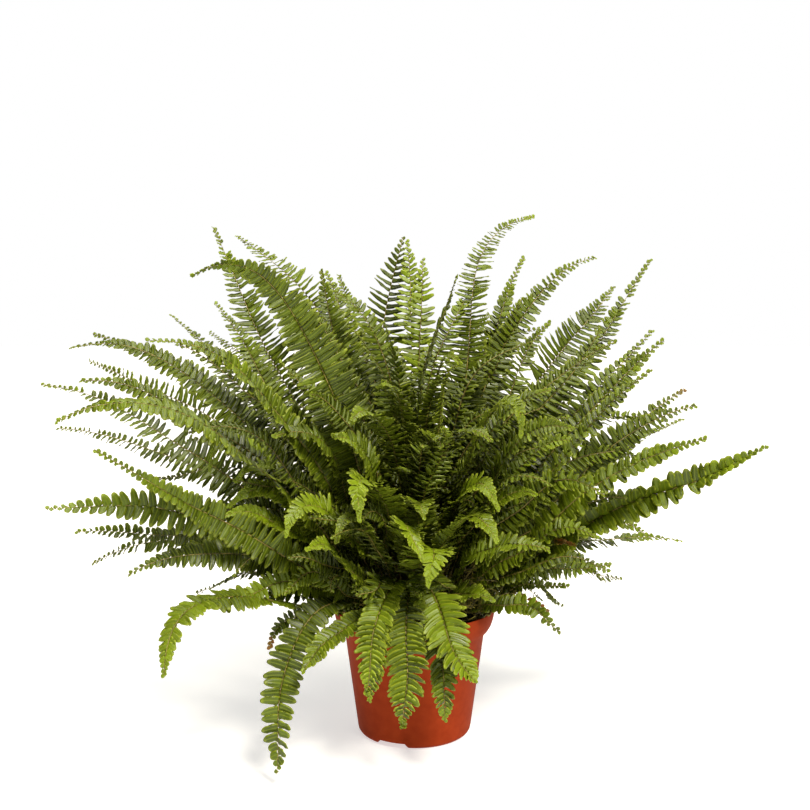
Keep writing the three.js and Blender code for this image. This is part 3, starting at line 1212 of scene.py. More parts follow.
@dataclass
class Pot:
    """The round nursery pot, a copy of its CAD node with rounded shading."""

    # height and radius of the pot's outside
    profile: tuple[tuple[float, float], ...] = (
        (0.0, 60.0),
        (8.0, 62.0),
        (107.5, 73.5),
        (112.5, 78.5),
        (117.0, 81.2),
        (124.0, 83.5),
        (135.0, 85.0),
    )
    top: float = 135.0
    peat_level: float = 124.0
    inner_radius: float = 81.6
    # how far leaves stay off the wall and the peat
    clearance: float = 1.0
    over_peat: float = 1.5
    # edges sharper than this many degrees keep their crease
    crease: float = 34.0
    merge_distance: float = 0.01

    @classmethod
    def kept_clear(cls, points: Array) -> Array:
        """Moves leaf points that would cut the pot: out of its wall, or up onto the peat.

        Args:
            points: the points of a frond.

        Returns:
            The points, none of them in the wall.
        """
        heights, radii = np.array(cls.profile).T
        moved = points.copy()
        radius = np.hypot(moved[:, 0], moved[:, 1])
        outside = np.interp(moved[:, 2], heights, radii) + cls.clearance
        low = moved[:, 2] < cls.top + cls.clearance
        inner = cls.inner_radius - cls.clearance
        pushed = low & (radius < outside) & (radius > inner)
        moved[pushed, :2] *= (outside[pushed] / radius[pushed])[:, None]
        floor = cls.peat_level + cls.over_peat
        in_pot = (radius <= inner) & (moved[:, 2] < floor)
        moved[in_pot, 2] = floor
        return moved

    def build(self) -> bpy.types.Object:
        """Copies the CAD pot, merges its loose triangles and shades its curves smooth.

        Returns:
            The pot's object.
        """
        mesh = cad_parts["nursery_pot"].data.copy()
        mesh.materials.clear()
        made = add_object("moulded_pot", mesh)
        weld = made.modifiers.new("weld", "WELD")
        weld.merge_threshold = self.merge_distance * MM
        bpy.context.view_layer.objects.active = made
        with bpy.context.temp_override(object=made, active_object=made, selected_objects=[made]):
            bpy.ops.object.modifier_apply(modifier=weld.name)
        made.data.polygons.foreach_set("use_smooth", np.ones(len(made.data.polygons), bool))
        made.data.set_sharp_from_angle(angle=math.radians(self.crease))
        made.data.materials.append(POLYPROPYLENE.material())
        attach(made, BODY)
        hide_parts("nursery_pot")
        return made


@dataclass
class Peat:
    """The crumbly top of the peat, on the CAD soil."""

    radius: float = 81.2
    hub_share: float = 0.0004
    rings: int = 54
    spokes: int = 200
    seed: int = 5
    # width, height and number of the crumbs
    crumbs: tuple[tuple[float, float, int], ...] = (
        (9.0, 2.2, 60),
        (4.5, 1.6, 260),
        (2.2, 1.0, 900),
    )
    crumb_gain: float = 1.2
    least: float = 0.3
    flat_rim: float = 2.0
    gap: float = 0.05
    sunk: float = 1.0

    def build(self) -> bpy.types.Object:
        """A disc of rings and spokes, raised by rounded crumbs of three sizes.

        A crumb's height is exp(-(distance / half its width)^2), and the highest one counts.

        Returns:
            The object: a closed disc, whose flat underside is sunk in the CAD soil.
        """
        chance = np.random.default_rng(self.seed)
        r = self.radius * np.sqrt(np.linspace(self.hub_share, 1, self.rings))
        a = np.arange(self.spokes) * math.tau / self.spokes
        x, y = np.outer(r, np.cos(a)), np.outer(r, np.sin(a))
        z = np.full_like(x, self.least)
        for size, tall, many in self.crumbs:
            where = chance.uniform(-self.radius, self.radius, (many, 2))
            for cx, cy in where:
                near = np.exp(-(((x - cx) ** 2 + (y - cy) ** 2) / (size / 2) ** 2))
                z = np.maximum(z, tall * near * self.crumb_gain)
        z *= 1 - smooth_step(np.hypot(x, y), self.radius - self.flat_rim, self.radius)
        top = np.stack([x, y, z + Pot.peat_level + self.gap], -1).reshape(-1, 3)
        bottom = top.copy()
        bottom[:, 2] = Pot.peat_level - self.sunk
        k, right, faces = hoops(self.rings, self.spokes)
        under = k.size
        rim = np.stack([k[-1], k[-1] + under, right[-1] + under, right[-1]], -1)
        hub = np.stack([k[0], right[0], right[0] + under, k[0] + under], -1)
        every = np.concatenate([faces, faces[:, ::-1] + under, rim, hub])
        surface = Surface.of(np.concatenate([top, bottom]), every)
        made = surface.to_object("peat_top", [PEAT.material()])
        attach(made, BODY)
        return made


@dataclass
class Crown:
    """The rootstock: a low dome of scales and old stalk bases that the fronds leave."""

    radius: float = 46.0
    height: float = 24.0
    centre: tuple[float, float, float] = (0.0, 0.0, 124.3)
    # how far off it the fronds start
    seat_gap: float = 0.35
    # hoops of the dome, points of a hoop, and how far from upright the first one lies
    rings: int = 30
    spokes: int = 90
    pole: float = 0.02
    # the dome of scales lies a little inside the CAD dome
    shrunk: float = 0.985
    lowered: float = 0.3
    scale_height: float = 0.035
    # scales round the dome and up it, and how far each of the two waves slants
    scales_round: int = 17
    scales_up: int = 19
    slant_round: int = 6
    slant_up: int = 3
    # old stalk bases: number, radii along one, rises in degrees, lengths, and the most
    # that one bends up
    stubs: int = 120
    stub_radii: tuple[float, ...] = (2.0, 1.8, 1.5, 1.3, 0.8)
    stub_scales: tuple[float, float] = (0.6, 1.1)
    stub_sides: int = 6
    stub_depth: float = 2.5
    stub_rises: tuple[float, float] = (15.0, 88.0)
    stub_lengths: tuple[float, float] = (5.0, 16.0)
    stub_bend: float = 3.0
    seed: int = 11

    @classmethod
    def seat(cls, direction: Array) -> Array:
        """The point of the dome whose surface faces a direction, a little off it.

        Args:
            direction: unit direction that a frond leaves in.

        Returns:
            The point: each half axis squared times the direction, over the root of the
            sum of (half axis times direction) squared.
        """
        axes = np.array([cls.radius, cls.radius, cls.height])
        point = axes**2 * direction / np.linalg.norm(axes * direction)
        return cls.centre + point + direction * cls.seat_gap

    def build(self) -> bpy.types.Object:
        """The dome, swollen by rounded scales, and its short old stalk bases.

        A scale is a crest of two crossed waves over the dome. A stalk base is a tapering
        tube that leaves the dome square to it and bends up a little.

        Returns:
            The object.
        """
        chance = np.random.default_rng(self.seed)
        rim = math.pi / 2
        tilt = np.linspace(self.pole, rim, self.rings)[:, None]
        a = (np.arange(self.spokes) * math.tau / self.spokes)[None]
        crest = np.sin(a * self.scales_round + self.slant_round * tilt)
        crossed = np.sin(tilt * self.scales_up + self.slant_up * a)
        scale = 1 + self.scale_height * crest * crossed
        # no scales on the last hoop
        scale = np.where(tilt > rim - self.pole, 1.0, scale) * self.shrunk
        x = self.radius * np.sin(tilt) * np.cos(a) * scale
        y = self.radius * np.sin(tilt) * np.sin(a) * scale
        z = self.height * np.cos(tilt) * scale + self.centre[2] - self.lowered
        top = np.stack([x, y, z], -1).reshape(-1, 3)
        k, _, faces = hoops(self.rings, self.spokes)
        # the flat underside: strips between the two halves of the last hoop
        middle = self.spokes // 2 - 2
        last, back = k[-1], k[-1][::-1]
        floor = [last[1 : middle + 1], last[:middle], back[:middle], back[1 : middle + 1]]
        parts = [Surface.of(top, np.concatenate([faces, np.stack(floor, -1)]))]
        for _ in range(self.stubs):
            level_way, _ = level_ways(chance.uniform(0, math.tau))
            steep = math.radians(chance.uniform(*self.stub_rises))
            out = level_way * math.cos(steep) + UP * math.sin(steep)
            start = self.seat(out) - out * self.stub_depth
            long = chance.uniform(*self.stub_lengths)
            share = np.linspace(0, 1, len(self.stub_radii))[:, None]
            line = start + share * (out * long + UP * chance.uniform(0, self.stub_bend))
            radius = np.array(self.stub_radii) * chance.uniform(*self.stub_scales)
            parts.append(Surface.of(*tube(line, radius, self.stub_sides)))
        made = Surface.joined(parts).to_object("crown_scales", [SCALES.material()])
        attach(made, BODY)
        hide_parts("rootstock")
        return made


@dataclass
class Runners:
    """Wiry runners: some creep over the peat all round, and a tangle of them stands at
    the right of the crown, over the rim.
    """

    creeping: int = 26
    tangled: int = 240
    tangle_centre: tuple[float, float, float] = (58.0, -34.0, 156.0)
    tangle_radii: tuple[float, float, float] = (34.0, 26.0, 26.0)
    tangle_scatter: float = 9.0
    seed: int = 21
    steps: int = 14
    sides: int = 4
    radii: tuple[float, float] = (0.25, 0.55)
    # creepers: where they start, how long they are, how far they wave sideways, how high
    # they lie, how far they wave up, and radians that the two waves run through
    start: float = 44.0
    lengths: tuple[float, float] = (24.0, 33.0)
    sideways: float = 5.0
    height: float = 128.5
    upward: float = 2.0
    swing: float = 4.0
    hump: float = 7.0
    # wires of the tangle: angles of their arcs in radians, sizes as shares of the
    # tangle's, how far they are out of round, and lobes of a full ring
    arcs: tuple[float, float] = (0.6, 1.9)
    sizes: tuple[float, float] = (0.3, 0.9)
    out_of_round: float = 0.12
    lobes: int = 5
    # how far they are kept over the peat and the rim, and how near to the rim that starts
    over_peat: float = 2.0
    over_rim: float = 1.5
    beside_rim: float = 3.0

    def creeper(self, chance: np.random.Generator) -> Array:
        """A runner that leaves the crown and lies on the peat in a slow wave.

        Args:
            chance: the source of its direction and its wave.

        Returns:
            The points of its line.
        """
        out, left = level_ways(math.radians(chance.uniform(0, 360)))
        t = np.linspace(0, 1, self.steps)[:, None]
        wave = chance.normal(0, self.sideways) * np.sin(t * self.swing + chance.uniform(*PHASES))
        line = out * (self.start + t * chance.uniform(*self.lengths)) + left * wave
        return line + UP * (self.height + self.upward * np.sin(t * self.hump))

    def tangle(self, chance: np.random.Generator) -> Array:
        """A wire of the tangle: part of a ring about the tangle's centre, out of round.

        Args:
            chance: the source of the ring's plane, size and place.

        Returns:
            The points of its line.
        """
        first = unit(chance.normal(0, 1, 3))
        second = unit(np.cross(first, chance.normal(0, 1, 3)))
        angle = np.linspace(0, chance.uniform(*self.arcs), self.steps)[:, None]
        size = chance.uniform(*self.sizes)
        size = size * (1 + self.out_of_round * np.sin(angle * self.lobes + chance.uniform(*PHASES)))
        ring = (first * np.cos(angle) + second * np.sin(angle)) * size
        middle = np.array(self.tangle_centre) + chance.normal(0, self.tangle_scatter, 3)
        return middle + ring * np.array(self.tangle_radii)

    def build(self) -> bpy.types.Object:
        """Makes each runner a thin tube, kept over the peat and the rim.

        Returns:
            The object.
        """
        chance = np.random.default_rng(self.seed)
        parts = []
        for i in range(self.creeping + self.tangled):
            line = self.creeper(chance) if i < self.creeping else self.tangle(chance)
            line[:, 2] = np.maximum(line[:, 2], Pot.peat_level + self.over_peat)
            at_rim = np.hypot(line[:, 0], line[:, 1]) > Pot.inner_radius - self.beside_rim
            line[at_rim, 2] = np.maximum(line[at_rim, 2], Pot.top + self.over_rim)
            radius = np.full(self.steps, chance.uniform(*self.radii))
            parts.append(Surface.of(*tube(line, radius, self.sides)))
        made = Surface.joined(parts).to_object("runners", [RUNNER.material()])
        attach(made, BODY)
        return made


# ---------------------------------------------------------------- the plant


UPRIGHT = Growth(
    vigour=0.38,
    lift=6.0,
    droop=0.1,
    pitch=6.4,
    breadth=1.0,
    spread=1.26,
    taper=0.1,
    bluntness=2.4,
    winding=0.3,
)
SPREADING = Growth(
    vigour=0.3,
    lift=2.0,
    droop=0.24,
    twist=24.0,
    pitch=6.6,
    breadth=1.08,
    spread=1.14,
    taper=0.12,
    bluntness=2.8,
)
LOW = Growth(
    vigour=0.28,
    lift=0.0,
    droop=0.28,
    twist=20.0,
    pitch=6.6,
    breadth=1.16,
    spread=0.94,
    taper=0.1,
)
HANGING = Growth(
    vigour=0.7,
    lift=8.0,
    droop=0.12,
    twist=38.0,
    lean=80.0,
    sickle=0.22,
    pitch=5.0,
    breadth=1.4,
    bluntness=3.2,
    winding=0.1,
)

# the growth of each group of the CAD model's fronds
GROUPS = {
    "top": UPRIGHT,
    "right": SPREADING,
    "left": SPREADING,
    "front": HANGING,
    "back": SPREADING,
}
# the fronds whose own growth shows in the photograph
ALONE = {
    "frond_top_1": replace(UPRIGHT, vigour=0.4, spread=1.36),
    "frond_top_2": replace(
        UPRIGHT, vigour=0.46, breadth=1.14, spread=1.5, taper=0.5, twist=8.0, turned=-60.0
    ),
    "frond_top_3": replace(UPRIGHT, vigour=0.48, spread=1.3),
    "frond_top_4": replace(UPRIGHT, vigour=0.5),
    "frond_top_6": replace(UPRIGHT, vigour=0.16, pitch=7.6, breadth=0.66, spread=1.3),
    "frond_top_7": replace(UPRIGHT, vigour=0.72, lift=8.0, pitch=7.2, breadth=0.9, spread=0.94),
    "frond_top_8": replace(UPRIGHT, vigour=0.66, pitch=7.2, breadth=0.9, spread=1.0),
    "frond_top_9": replace(UPRIGHT, vigour=0.44, pitch=5.0, spread=1.1),
    "frond_top_10": replace(UPRIGHT, vigour=0.5, breadth=1.15, spread=0.96, bluntness=3.4),
    "frond_top_11": replace(UPRIGHT, vigour=0.44, breadth=1.1, spread=0.96, droop=0.3),
    "frond_right_1": replace(UPRIGHT, vigour=0.3, pitch=6.6, bluntness=2.0),
    "frond_right_2": replace(UPRIGHT, vigour=0.42, breadth=1.1, spread=1.0, bluntness=2.0),
    "frond_right_3": replace(SPREADING, vigour=0.46, winding=0.3),
    "frond_right_4": replace(SPREADING, vigour=0.4, spread=1.3, winding=0.3),
    "frond_right_5": replace(SPREADING, vigour=0.46, spread=1.3, taper=0.3, winding=0.2),
    "frond_right_6": replace(SPREADING, dry=0.04),
    "frond_right_8": replace(SPREADING, vigour=0.46, breadth=1.3, lift=16.0, twist=10.0),
    "frond_right_9": replace(SPREADING, vigour=0.56, breadth=1.3, spread=1.0, twist=10.0),
    "frond_right_10": replace(
        SPREADING, vigour=0.56, lift=26.0, pitch=7.6, breadth=1.45, spread=1.0, taper=0.0, twist=4.0
    ),
    "frond_right_11": replace(SPREADING, vigour=0.5, twist=14.0),
    "frond_right_12": replace(LOW, vigour=0.4, spread=0.62),
    "frond_right_13": replace(LOW, vigour=0.5, spread=0.8, droop=0.1),
    "frond_left_3": replace(SPREADING, vigour=0.4, breadth=0.84),
    "frond_left_5": replace(SPREADING, vigour=0.4, breadth=0.84),
    "frond_left_6": replace(SPREADING, vigour=0.54, breadth=1.24, droop=0.4, twist=10.0),
    "frond_left_7": replace(SPREADING, vigour=0.26, breadth=0.86, spread=0.84, winding=0.5),
    "frond_left_10": replace(SPREADING, vigour=0.48, breadth=1.3, spread=0.9, twist=8.0),
    "frond_left_11": replace(
        SPREADING, vigour=0.5, taper=0.6, spread=1.35, breadth=1.2, twist=10.0
    ),
    "frond_left_12": replace(
        SPREADING,
        vigour=0.56,
        lift=8.0,
        droop=0.04,
        twist=10.0,
        pitch=8.6,
        breadth=0.98,
        winding=0.2,
    ),
    "frond_left_14": replace(LOW, spread=1.1, winding=0.3),
    "frond_left_15": replace(LOW, spread=1.1, winding=0.3),
    "frond_left_16": replace(
        LOW, vigour=0.62, pitch=5.2, breadth=1.3, spread=1.26, taper=0.0, bluntness=3.4, winding=0.1
    ),
    "frond_left_17": LOW,
    "frond_front_1": replace(
        HANGING,
        vigour=0.42,
        lean=90.0,
        sickle=0.06,
        pitch=8.2,
        breadth=1.12,
        twist=12.0,
        spread=0.95,
    ),
    "frond_front_2": replace(HANGING, vigour=0.65),
    "frond_front_3": replace(HANGING, vigour=0.66, pitch=4.4),
    "frond_front_4": replace(HANGING, vigour=0.78, crozier=2.6),
    "frond_front_5": replace(HANGING, vigour=0.66, pitch=5.2, crozier=3.6),
    "frond_front_6": replace(HANGING, vigour=0.54, lift=2.0, breadth=1.3),
    "frond_front_7": replace(HANGING, vigour=0.8, spread=1.2),
}

# young fronds near the crown, and grown ones in the middle of the plant
YOUNG = Growth(
    vigour=0.8,
    lift=8.0,
    droop=0.05,
    twist=9.0,
    lean=68.0,
    pitch=3.1,
    breadth=1.9,
    spread=0.84,
    bluntness=1.8,
)
INNER = replace(UPRIGHT, vigour=0.45, lift=8.0, twist=30.0, pitch=5.0, breadth=1.06, spread=1.0)


@dataclass(frozen=True)
class InnerFrond:
    """A young or inner frond, judged in the photograph.

    Its fields are those of Spine.grown, then those of its growth.
    """

    azimuth: float
    rise: float
    reach: float
    height: float
    tip_slope: float
    width: float
    sway: float = 0.0
    fullness: float = 4.5
    growth: Growth = YOUNG
    vigour: float = 0.85
    hook: float = 0.32
    crozier: float = 0.0
    dry: float = 0.0

    # how far it strays in millimetres, and how far it winds and is tilted in degrees
    sideways: float = 3.5
    roll: float = 12.0
    tilt: float = 12.0

    def frond(self, seed: int) -> Frond:
        """The frond, ready to be built.

        Args:
            seed: the seed of what varies by chance.

        Returns:
            The frond.
        """
        spine = Spine.grown(
            self.azimuth,
            self.rise,
            self.reach,
            self.height,
            self.tip_slope,
            self.width,
            self.sway,
            self.fullness,
            self.hook,
        ).swayed(np.random.default_rng(seed), self.sideways, self.roll, self.tilt)
        growth = replace(self.growth, vigour=self.vigour, crozier=self.crozier, dry=self.dry)
        return Frond(spine, growth, seed)


# young fronds whose tips hang towards the viewer, from left to right
TIPS_IN_FRONT = (
    InnerFrond(196, 52, 214, 290, -76, 30, hook=0.4, vigour=0.8),
    InnerFrond(209, 62, 188, 280, -55, 40, -14, vigour=0.65),
    InnerFrond(206, 50, 204, 262, -42, 34, vigour=0.66),
    InnerFrond(208, 44, 211, 247, -24, 34, vigour=0.86),
    InnerFrond(228, 66, 190, 245, -70, 48, 12, vigour=0.76),
    InnerFrond(236, 40, 204, 241, 8, 32, 16, vigour=0.72),
    InnerFrond(244, 62, 167, 238, -80, 30, hook=0.4, vigour=0.4),
    InnerFrond(250, 74, 159, 258, -88, 62, fullness=3.2, hook=0.55, vigour=0.76),
    InnerFrond(258, 68, 151, 222, -66, 46, 34, hook=0.5, vigour=0.78),
    InnerFrond(276, 68, 151, 198, -80, 70, fullness=3.0, hook=0.45, vigour=0.92),
    InnerFrond(266, 74, 146, 262, -30, 50, 20, vigour=0.4),
    InnerFrond(290, 66, 150, 236, -44, 48, 26, hook=0.45, vigour=0.66),
    InnerFrond(298, 74, 136, 262, -84, 50, 16, fullness=3.4, hook=0.5, vigour=0.7),
    InnerFrond(307, 58, 175, 222, -26, 38, 24, vigour=0.6, growth=INNER),
    InnerFrond(311, 80, 146, 331, -88, 44, hook=0.45, vigour=0.55),
    InnerFrond(322, 58, 157, 274, -10, 32, -20, vigour=0.62),
    InnerFrond(329, 46, 195, 227, -16, 36, 20, vigour=0.62, growth=INNER),
    InnerFrond(338, 34, 170, 214, -12, 26, vigour=0.6, dry=0.16),
    InnerFrond(340, 62, 174, 312, -16, 36, vigour=0.75, growth=INNER),
)
# upright fronds in the middle, in front of the tall ones
UPRIGHT_IN_FRONT = (
    InnerFrond(192, 74, 96, 406, 60, 36, 24, growth=INNER, vigour=0.5, crozier=1.8),
    InnerFrond(199, 70, 130, 396, 50, 42, -36, growth=INNER, vigour=0.45),
    InnerFrond(208, 66, 169, 332, -14, 44, 34, growth=INNER, vigour=0.36),
    InnerFrond(222, 76, 136, 396, 10, 46, -34, growth=INNER, vigour=0.5),
    InnerFrond(226, 70, 140, 331, 0, 46, 34, growth=INNER, vigour=0.5, crozier=1.8),
    InnerFrond(240, 84, 102, 376, 0, 46, 24, growth=INNER, vigour=0.45),
    InnerFrond(256, 82, 123, 345, -30, 44, -30, growth=INNER, vigour=0.55, crozier=1.6),
    InnerFrond(266, 84, 110, 320, -50, 52, 30, growth=INNER, vigour=0.4),
    InnerFrond(272, 86, 80, 378, 20, 40, -34, growth=INNER, vigour=0.5),
    InnerFrond(285, 80, 128, 326, -40, 44, 36, growth=INNER, vigour=0.36),
    InnerFrond(307, 86, 78, 396, -42, 28, growth=INNER, vigour=0.55),
    InnerFrond(311, 78, 92, 392, 46, 48, -34, growth=INNER, vigour=0.55),
    InnerFrond(318, 72, 150, 372, 14, 46, 30, growth=INNER, vigour=0.4),
    InnerFrond(330, 66, 185, 340, 0, 42, -26, growth=INNER, vigour=0.36),
    InnerFrond(15, 70, 150, 430, 50, 40, growth=INNER, vigour=0.4),
    InnerFrond(75, 86, 90, 464, 20, 40, -38, growth=INNER, vigour=0.5),
    InnerFrond(155, 62, 245, 447, 50, 42, growth=INNER, vigour=0.45),
    InnerFrond(140, 74, 190, 470, 40, 44, 30, growth=INNER, vigour=0.42),
    InnerFrond(120, 78, 170, 480, 50, 44, growth=INNER, vigour=0.38),
    InnerFrond(40, 76, 180, 460, 30, 44, growth=INNER, vigour=0.4),
    InnerFrond(150, 76, 120, 484, 70, 42, growth=UPRIGHT, vigour=0.34),
    InnerFrond(30, 76, 140, 454, 56, 38, growth=UPRIGHT, vigour=0.34),
    InnerFrond(6, 68, 198, 424, 48, 40, growth=UPRIGHT, vigour=0.34),
)
# low fronds at the rim, on the left and on the right
LOW_AT_THE_RIM = (
    InnerFrond(209, 34, 166, 116, -56, 22, growth=INNER, vigour=0.4, dry=0.1),
    InnerFrond(212, 40, 224, 172, -12, 30, 10, growth=INNER, vigour=0.8),
    InnerFrond(296, 42, 134, 170, -34, 40, 14, vigour=0.5),
    InnerFrond(343, 36, 204, 190, -8, 26, growth=INNER, vigour=0.5),
    InnerFrond(339, 30, 166, 172, 4, 16, growth=INNER, vigour=0.4),
    InnerFrond(332, 32, 150, 150, -30, 6, growth=replace(INNER, pitch=8.0), vigour=0.3, dry=0.4),
)
INNER_FRONDS = TIPS_IN_FRONT + UPRIGHT_IN_FRONT + LOW_AT_THE_RIM


# lowest and highest of what is drawn for a filler's growth, in the order of the draws
FILLER_TRAITS = {
    # the fillers' youth is drawn low so that the inside of the plant is darker: painted shade
    "vigour": (0.0, 0.45),
    "lift": (-6.0, 12.0),
    "droop": (0.0, 0.3),
    "twist": (15.0, 45.0),
    "lean": (72.0, 88.0),
    "sickle": (0.05, 0.2),
    "pitch": (5.6, 7.2),
    "breadth": (0.72, 1.0),
    "bluntness": (2.0, 3.6),
}


@dataclass
class Fern:
    """The whole plant: the CAD fronds, the inner ones, and fillers in nested domes.

    A filler's tip lies on a dome about the crown that is a share of the whole plant's
    size. The tips of one dome are spread by the golden angle.
    """

    # each dome's share of the plant's size, and its number of fillers
    domes: tuple[tuple[float, int], ...] = (
        (0.36, 34),
        (0.5, 46),
        (0.64, 52),
        (0.78, 46),
        (0.9, 30),
    )
    # the plant's reach sideways, back and to the front, and its height over the rim
    size: tuple[float, float, float, float] = (370.0, 335.0, 215.0, 395.0)
    # sine of the lowest and of the highest filler's climb
    lowest: float = -0.2
    highest: float = 0.97
    golden_angle: float = 137.508
    # how far each dome is turned on from the last, in degrees for a whole share
    turn_on: float = 700.0
    # low fillers are shorter: the share that all keep, and the rest that high ones have
    kept_size: float = 0.64
    more_size: float = 0.36
    # sines of the climb that the rest sets in from and is whole from
    high_ones: tuple[float, float] = (-0.1, 0.4)
    filler_seed: int = 77
    # to the front of this they keep at least this height, which clears the pot
    front_of: float = -60.0
    least_height: float = 178.0
    # the soil at the front right shows, so no filler's tip is here below this height
    bare_x: float = 25.0
    bare_y: float = -25.0
    bare_below: float = 240.0
    # a filler's rise and tip slope lie this far over and under its climb
    arch: float = 34.0
    rises: tuple[float, float] = (36.0, 88.0)
    # what is drawn for a filler's spine: its size as a share of its dome's, what its
    # rise and its tip slope stray by, its width, how far its tip lies aside, and the
    # power in its outline
    size_span: tuple[float, float] = (0.9, 1.08)
    rise_span: tuple[float, float] = (-8.0, 8.0)
    slope_span: tuple[float, float] = (-20.0, 14.0)
    width_span: tuple[float, float] = (30.0, 42.0)
    aside_span: tuple[float, float] = (-22.0, 22.0)
    fullness_span: tuple[float, float] = (3.0, 5.0)
    # outer fillers are wider: the share of the width that all keep, and what a dome of
    # the whole plant's size adds
    kept_width: float = 0.8
    more_width: float = 0.25
    # inner domes keep the dark tone drawn, which is painted shade: from this dome on they are
    # lighter, by this much for a whole share
    livelier_from: float = 0.5
    livelier: float = 0.5
    # tips that hang lower than this are kept only this far back
    low_tip: float = 150.0
    low_only_behind: float = 30.0
    # the CAD fronds' spines: how far they stray in millimetres, and what winding adds
    sideways: float = 1.4
    more_sideways: float = 2.1
    # their roll in degrees, and with a winding of 1 the fold of their leaflets, their
    # tilt and how far they turn back from the light
    roll: float = 14.0
    fold: float = 16.0
    tilt: float = 34.0
    back: float = 10.0
    # sideways stray, roll and tilt of the fillers' spines
    filler_sway: tuple[float, float, float] = (6.0, 18.0, 30.0)
    # the first seeds of the CAD model's fronds, of the inner ones and of the fillers
    seeds: tuple[int, int, int] = (100, 300, 500)

    def fillers(self) -> list[tuple[Spine, Growth]]:
        """The fillers' spines and growth.

        Returns:
            One pair a filler.
        """
        chance = np.random.default_rng(self.filler_seed)
        made = []
        wide, back, front, tall = self.size
        for share, many in self.domes:
            for i in range(many):
                up = self.lowest + (self.highest - self.lowest) * (i + 0.5) / many
                level = math.sqrt(1 - up * up)
                way = math.radians(i * self.golden_angle + share * self.turn_on)
                size = share * chance.uniform(*self.size_span)
                high = float(smooth_step(np.array(up), *self.high_ones))
                size *= self.kept_size + self.more_size * high
                deep = back if math.sin(way) > 0 else front
                x = wide * level * math.cos(way) * size
                y = deep * level * math.sin(way) * size
                height = Pot.top + tall * up * size
                if y < self.front_of:
                    height = max(height, self.least_height)
                if y < self.bare_y and x > self.bare_x and height < self.bare_below:
                    continue
                climb = math.degrees(math.asin(up))
                rise = climb + self.arch + chance.uniform(*self.rise_span)
                spine = Spine.grown(
                    math.degrees(math.atan2(y, x)),
                    min(max(rise, self.rises[0]), self.rises[1]),
                    math.hypot(x, y),
                    height,
                    climb - self.arch + chance.uniform(*self.slope_span),
                    chance.uniform(*self.width_span)
                    * (self.kept_width + self.more_width * share),
                    chance.uniform(*self.aside_span),
                    chance.uniform(*self.fullness_span),
                )
                drawn = {k: chance.uniform(*span) for k, span in FILLER_TRAITS.items()}
                # outer fillers are lighter and inner ones darker: painted shade
                drawn["vigour"] += self.livelier * max(share - self.livelier_from, 0)
                if height > self.low_tip or y > self.low_only_behind:
                    made.append((spine, Growth(**drawn)))
        return made

    def fronds(self) -> dict[str, Frond]:
        """Every frond of the plant by its name.

        Returns:
            The CAD model's fronds, the inner ones and the fillers.
        """
        made = {}
        first, first_inner, first_filler = self.seeds
        names = sorted(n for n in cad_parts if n.startswith("frond_"))
        for seed, name in enumerate(names, first):
            growth = ALONE.get(name, GROUPS[name.split("_")[1]])
            winding = growth.winding
            chance = np.random.default_rng(seed)
            fold = self.fold * winding * chance.uniform(-1, 1)
            growth = replace(growth, lift=growth.lift + fold)
            sideways = self.sideways + self.more_sideways * winding
            spine = Spine.of_node(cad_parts[name])
            spine = spine.swayed(
                chance, sideways, self.roll, self.tilt * winding, self.back * winding
            ).turned(growth.turned)
            made[name.replace("frond", "fern")] = Frond(spine, growth, seed)
        for number, inner in enumerate(INNER_FRONDS):
            made[f"inner_frond_{number + 1}"] = inner.frond(first_inner + number)
        for number, (spine, growth) in enumerate(self.fillers()):
            seed = first_filler + number
            spine = spine.swayed(np.random.default_rng(seed), *self.filler_sway)
            made[f"filler_frond_{number + 1}"] = Frond(spine, growth, seed, SPARE_LEAFLET)
        return made

    def build(self) -> None:
        """Builds every frond, sets it in place of its CAD node and logs its faces."""
        materials = [LeafletFinish().material(), MIDRIB.material()]
        total = 0
        for name, frond in self.fronds().items():
            made = frond.build(name, materials)
            if name.startswith("fern"):
                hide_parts(name.replace("fern", "frond"))
            total += len(made.data.polygons)
            log.info("%s: %d faces", name, len(made.data.polygons))
        log.info("fronds: %d faces in all", total)


# ---------------------------------------------------------------- the studio


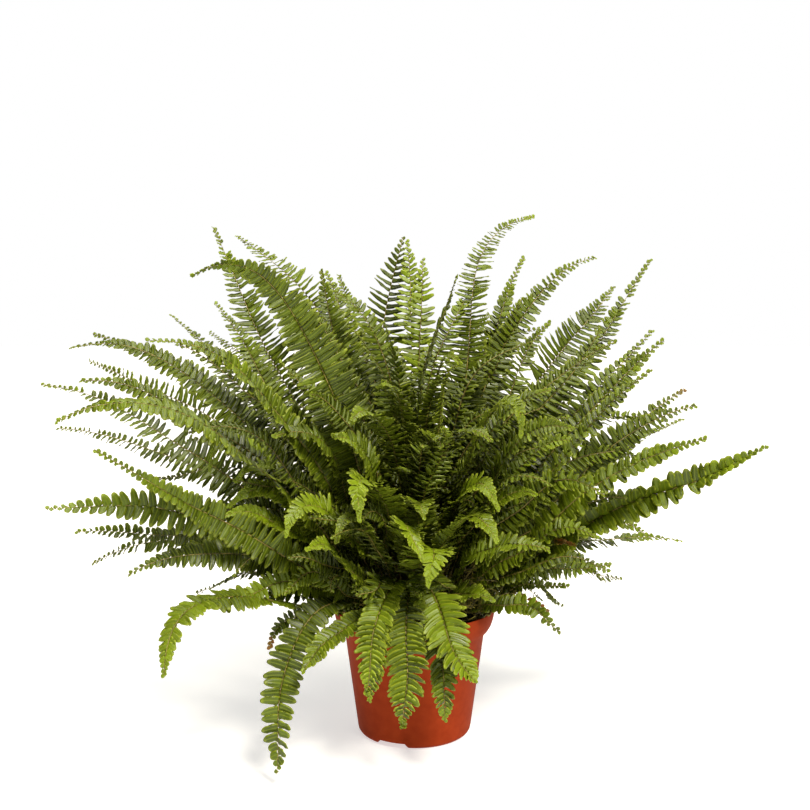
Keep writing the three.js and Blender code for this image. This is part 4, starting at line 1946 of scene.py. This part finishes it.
@dataclass(frozen=True)
class Studio:
    """Floor, light and camera of a plain white studio."""

    camera_place: tuple[float, float, float] = (-0.010, -1.213, 0.490)
    camera_dip: float = 6.7
    lens: float = 52.4
    film: float = 36.0
    lamplight: str = "#fff8ec"
    # brightness of the white paper as the plant gets it, and as the camera sees it
    paper_light: float = 0.1
    paper_seen: float = 1.0
    # name, kind, place, size and power of the lamps
    lamps: tuple[tuple[str, str, tuple[float, float, float], float, float], ...] = (
        ("key", "SUN", (0.55, -1.0, 1.7), math.radians(15), 4.3),
        ("top", "AREA", (-0.2, 0.1, 1.9), 0.8, 24.0),
        ("back", "AREA", (0.3, 1.5, 1.3), 1.2, 9.0),
    )
    # what the lamps point at: the middle of the plant
    middle: tuple[float, float, float] = (0.0, 0.0, 0.25)
    floor_half: float = 6000.0

    def floor(self) -> None:
        """A wide board under the pot."""
        corners = self.floor_half * np.array([[-1.0, -1, 0], [1, -1, 0], [1, 1, 0], [-1, 1, 0]])
        made = Surface.of(corners, np.array([[0, 1, 2, 3]]))
        made = made.to_object("floor", [BOARD.material()])

    def light(self) -> None:
        """White surroundings, a key light from the front right, and two soft lamps."""
        world = bpy.data.worlds.new("white_studio")
        bpy.context.scene.world = world
        tree = empty_tree(world)
        # the white paper behind the plant is lit more brightly than the plant is
        seen = add_node(tree, "ShaderNodeLightPath").outputs["Is Camera Ray"]
        strength = add_node(tree, RANGE, {0: seen, 3: self.paper_light, 4: self.paper_seen})
        paper = add_node(
            tree, "ShaderNodeBackground", {"Color": (1, 1, 1, 1), "Strength": strength}
        )
        add_node(tree, "ShaderNodeOutputWorld", {"Surface": paper})
        for lamp in self.lamps:
            self.lamp(*lamp)

    def lamp(
        self, name: str, kind: str, place: tuple[float, float, float], size: float, power: float
    ) -> None:
        """One soft lamp that points at the plant.

        Args:
            name: its name.
            kind: SUN for light as even as a large far lamp's, or AREA.
            place: where it stands, in metres.
            size: its width in metres, or a SUN's angle in radians.
            power: its strength.
        """
        data = bpy.data.lights.new(name, kind)
        data.energy = power
        data.color = linear(self.lamplight)[:3]
        if kind == "SUN":
            data.angle = size
        else:
            data.size = size
        made = add_object(name, data)
        made.location = place
        aim = np.array(self.middle) - np.array(place)
        yaw = math.atan2(aim[1], aim[0]) - math.pi / 2
        dip = math.atan2(-aim[2], math.hypot(aim[0], aim[1]))
        made.rotation_euler = (math.pi / 2 - dip, 0, yaw)

    def camera(self) -> None:
        """The camera at the photograph's place."""
        data = bpy.data.cameras.new("camera")
        data.lens = self.lens
        data.sensor_width = self.film
        made = add_object("camera", data)
        made.location = self.camera_place
        made.rotation_euler = (math.radians(90 - self.camera_dip), 0, 0)
        bpy.context.scene.camera = made

    def build(self) -> None:
        """Sets up the studio, with plain colours."""
        self.floor()
        self.light()
        self.camera()
        bpy.context.scene.view_settings.view_transform = "Standard"


def main() -> None:
    """Builds the studio and every piece, and notes the sizes."""
    logging.basicConfig(level=logging.INFO, format="%(message)s")
    Studio().build()
    for maker in (Pot(), Peat(), Crown(), Runners()):
        made = maker.build()
        log.info("%s: %d faces", made.name, len(made.data.polygons))
    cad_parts["potting_soil"].material_slots[0].material = PEAT.material()
    Fern().build()


if __name__ == "__main__":
    main()
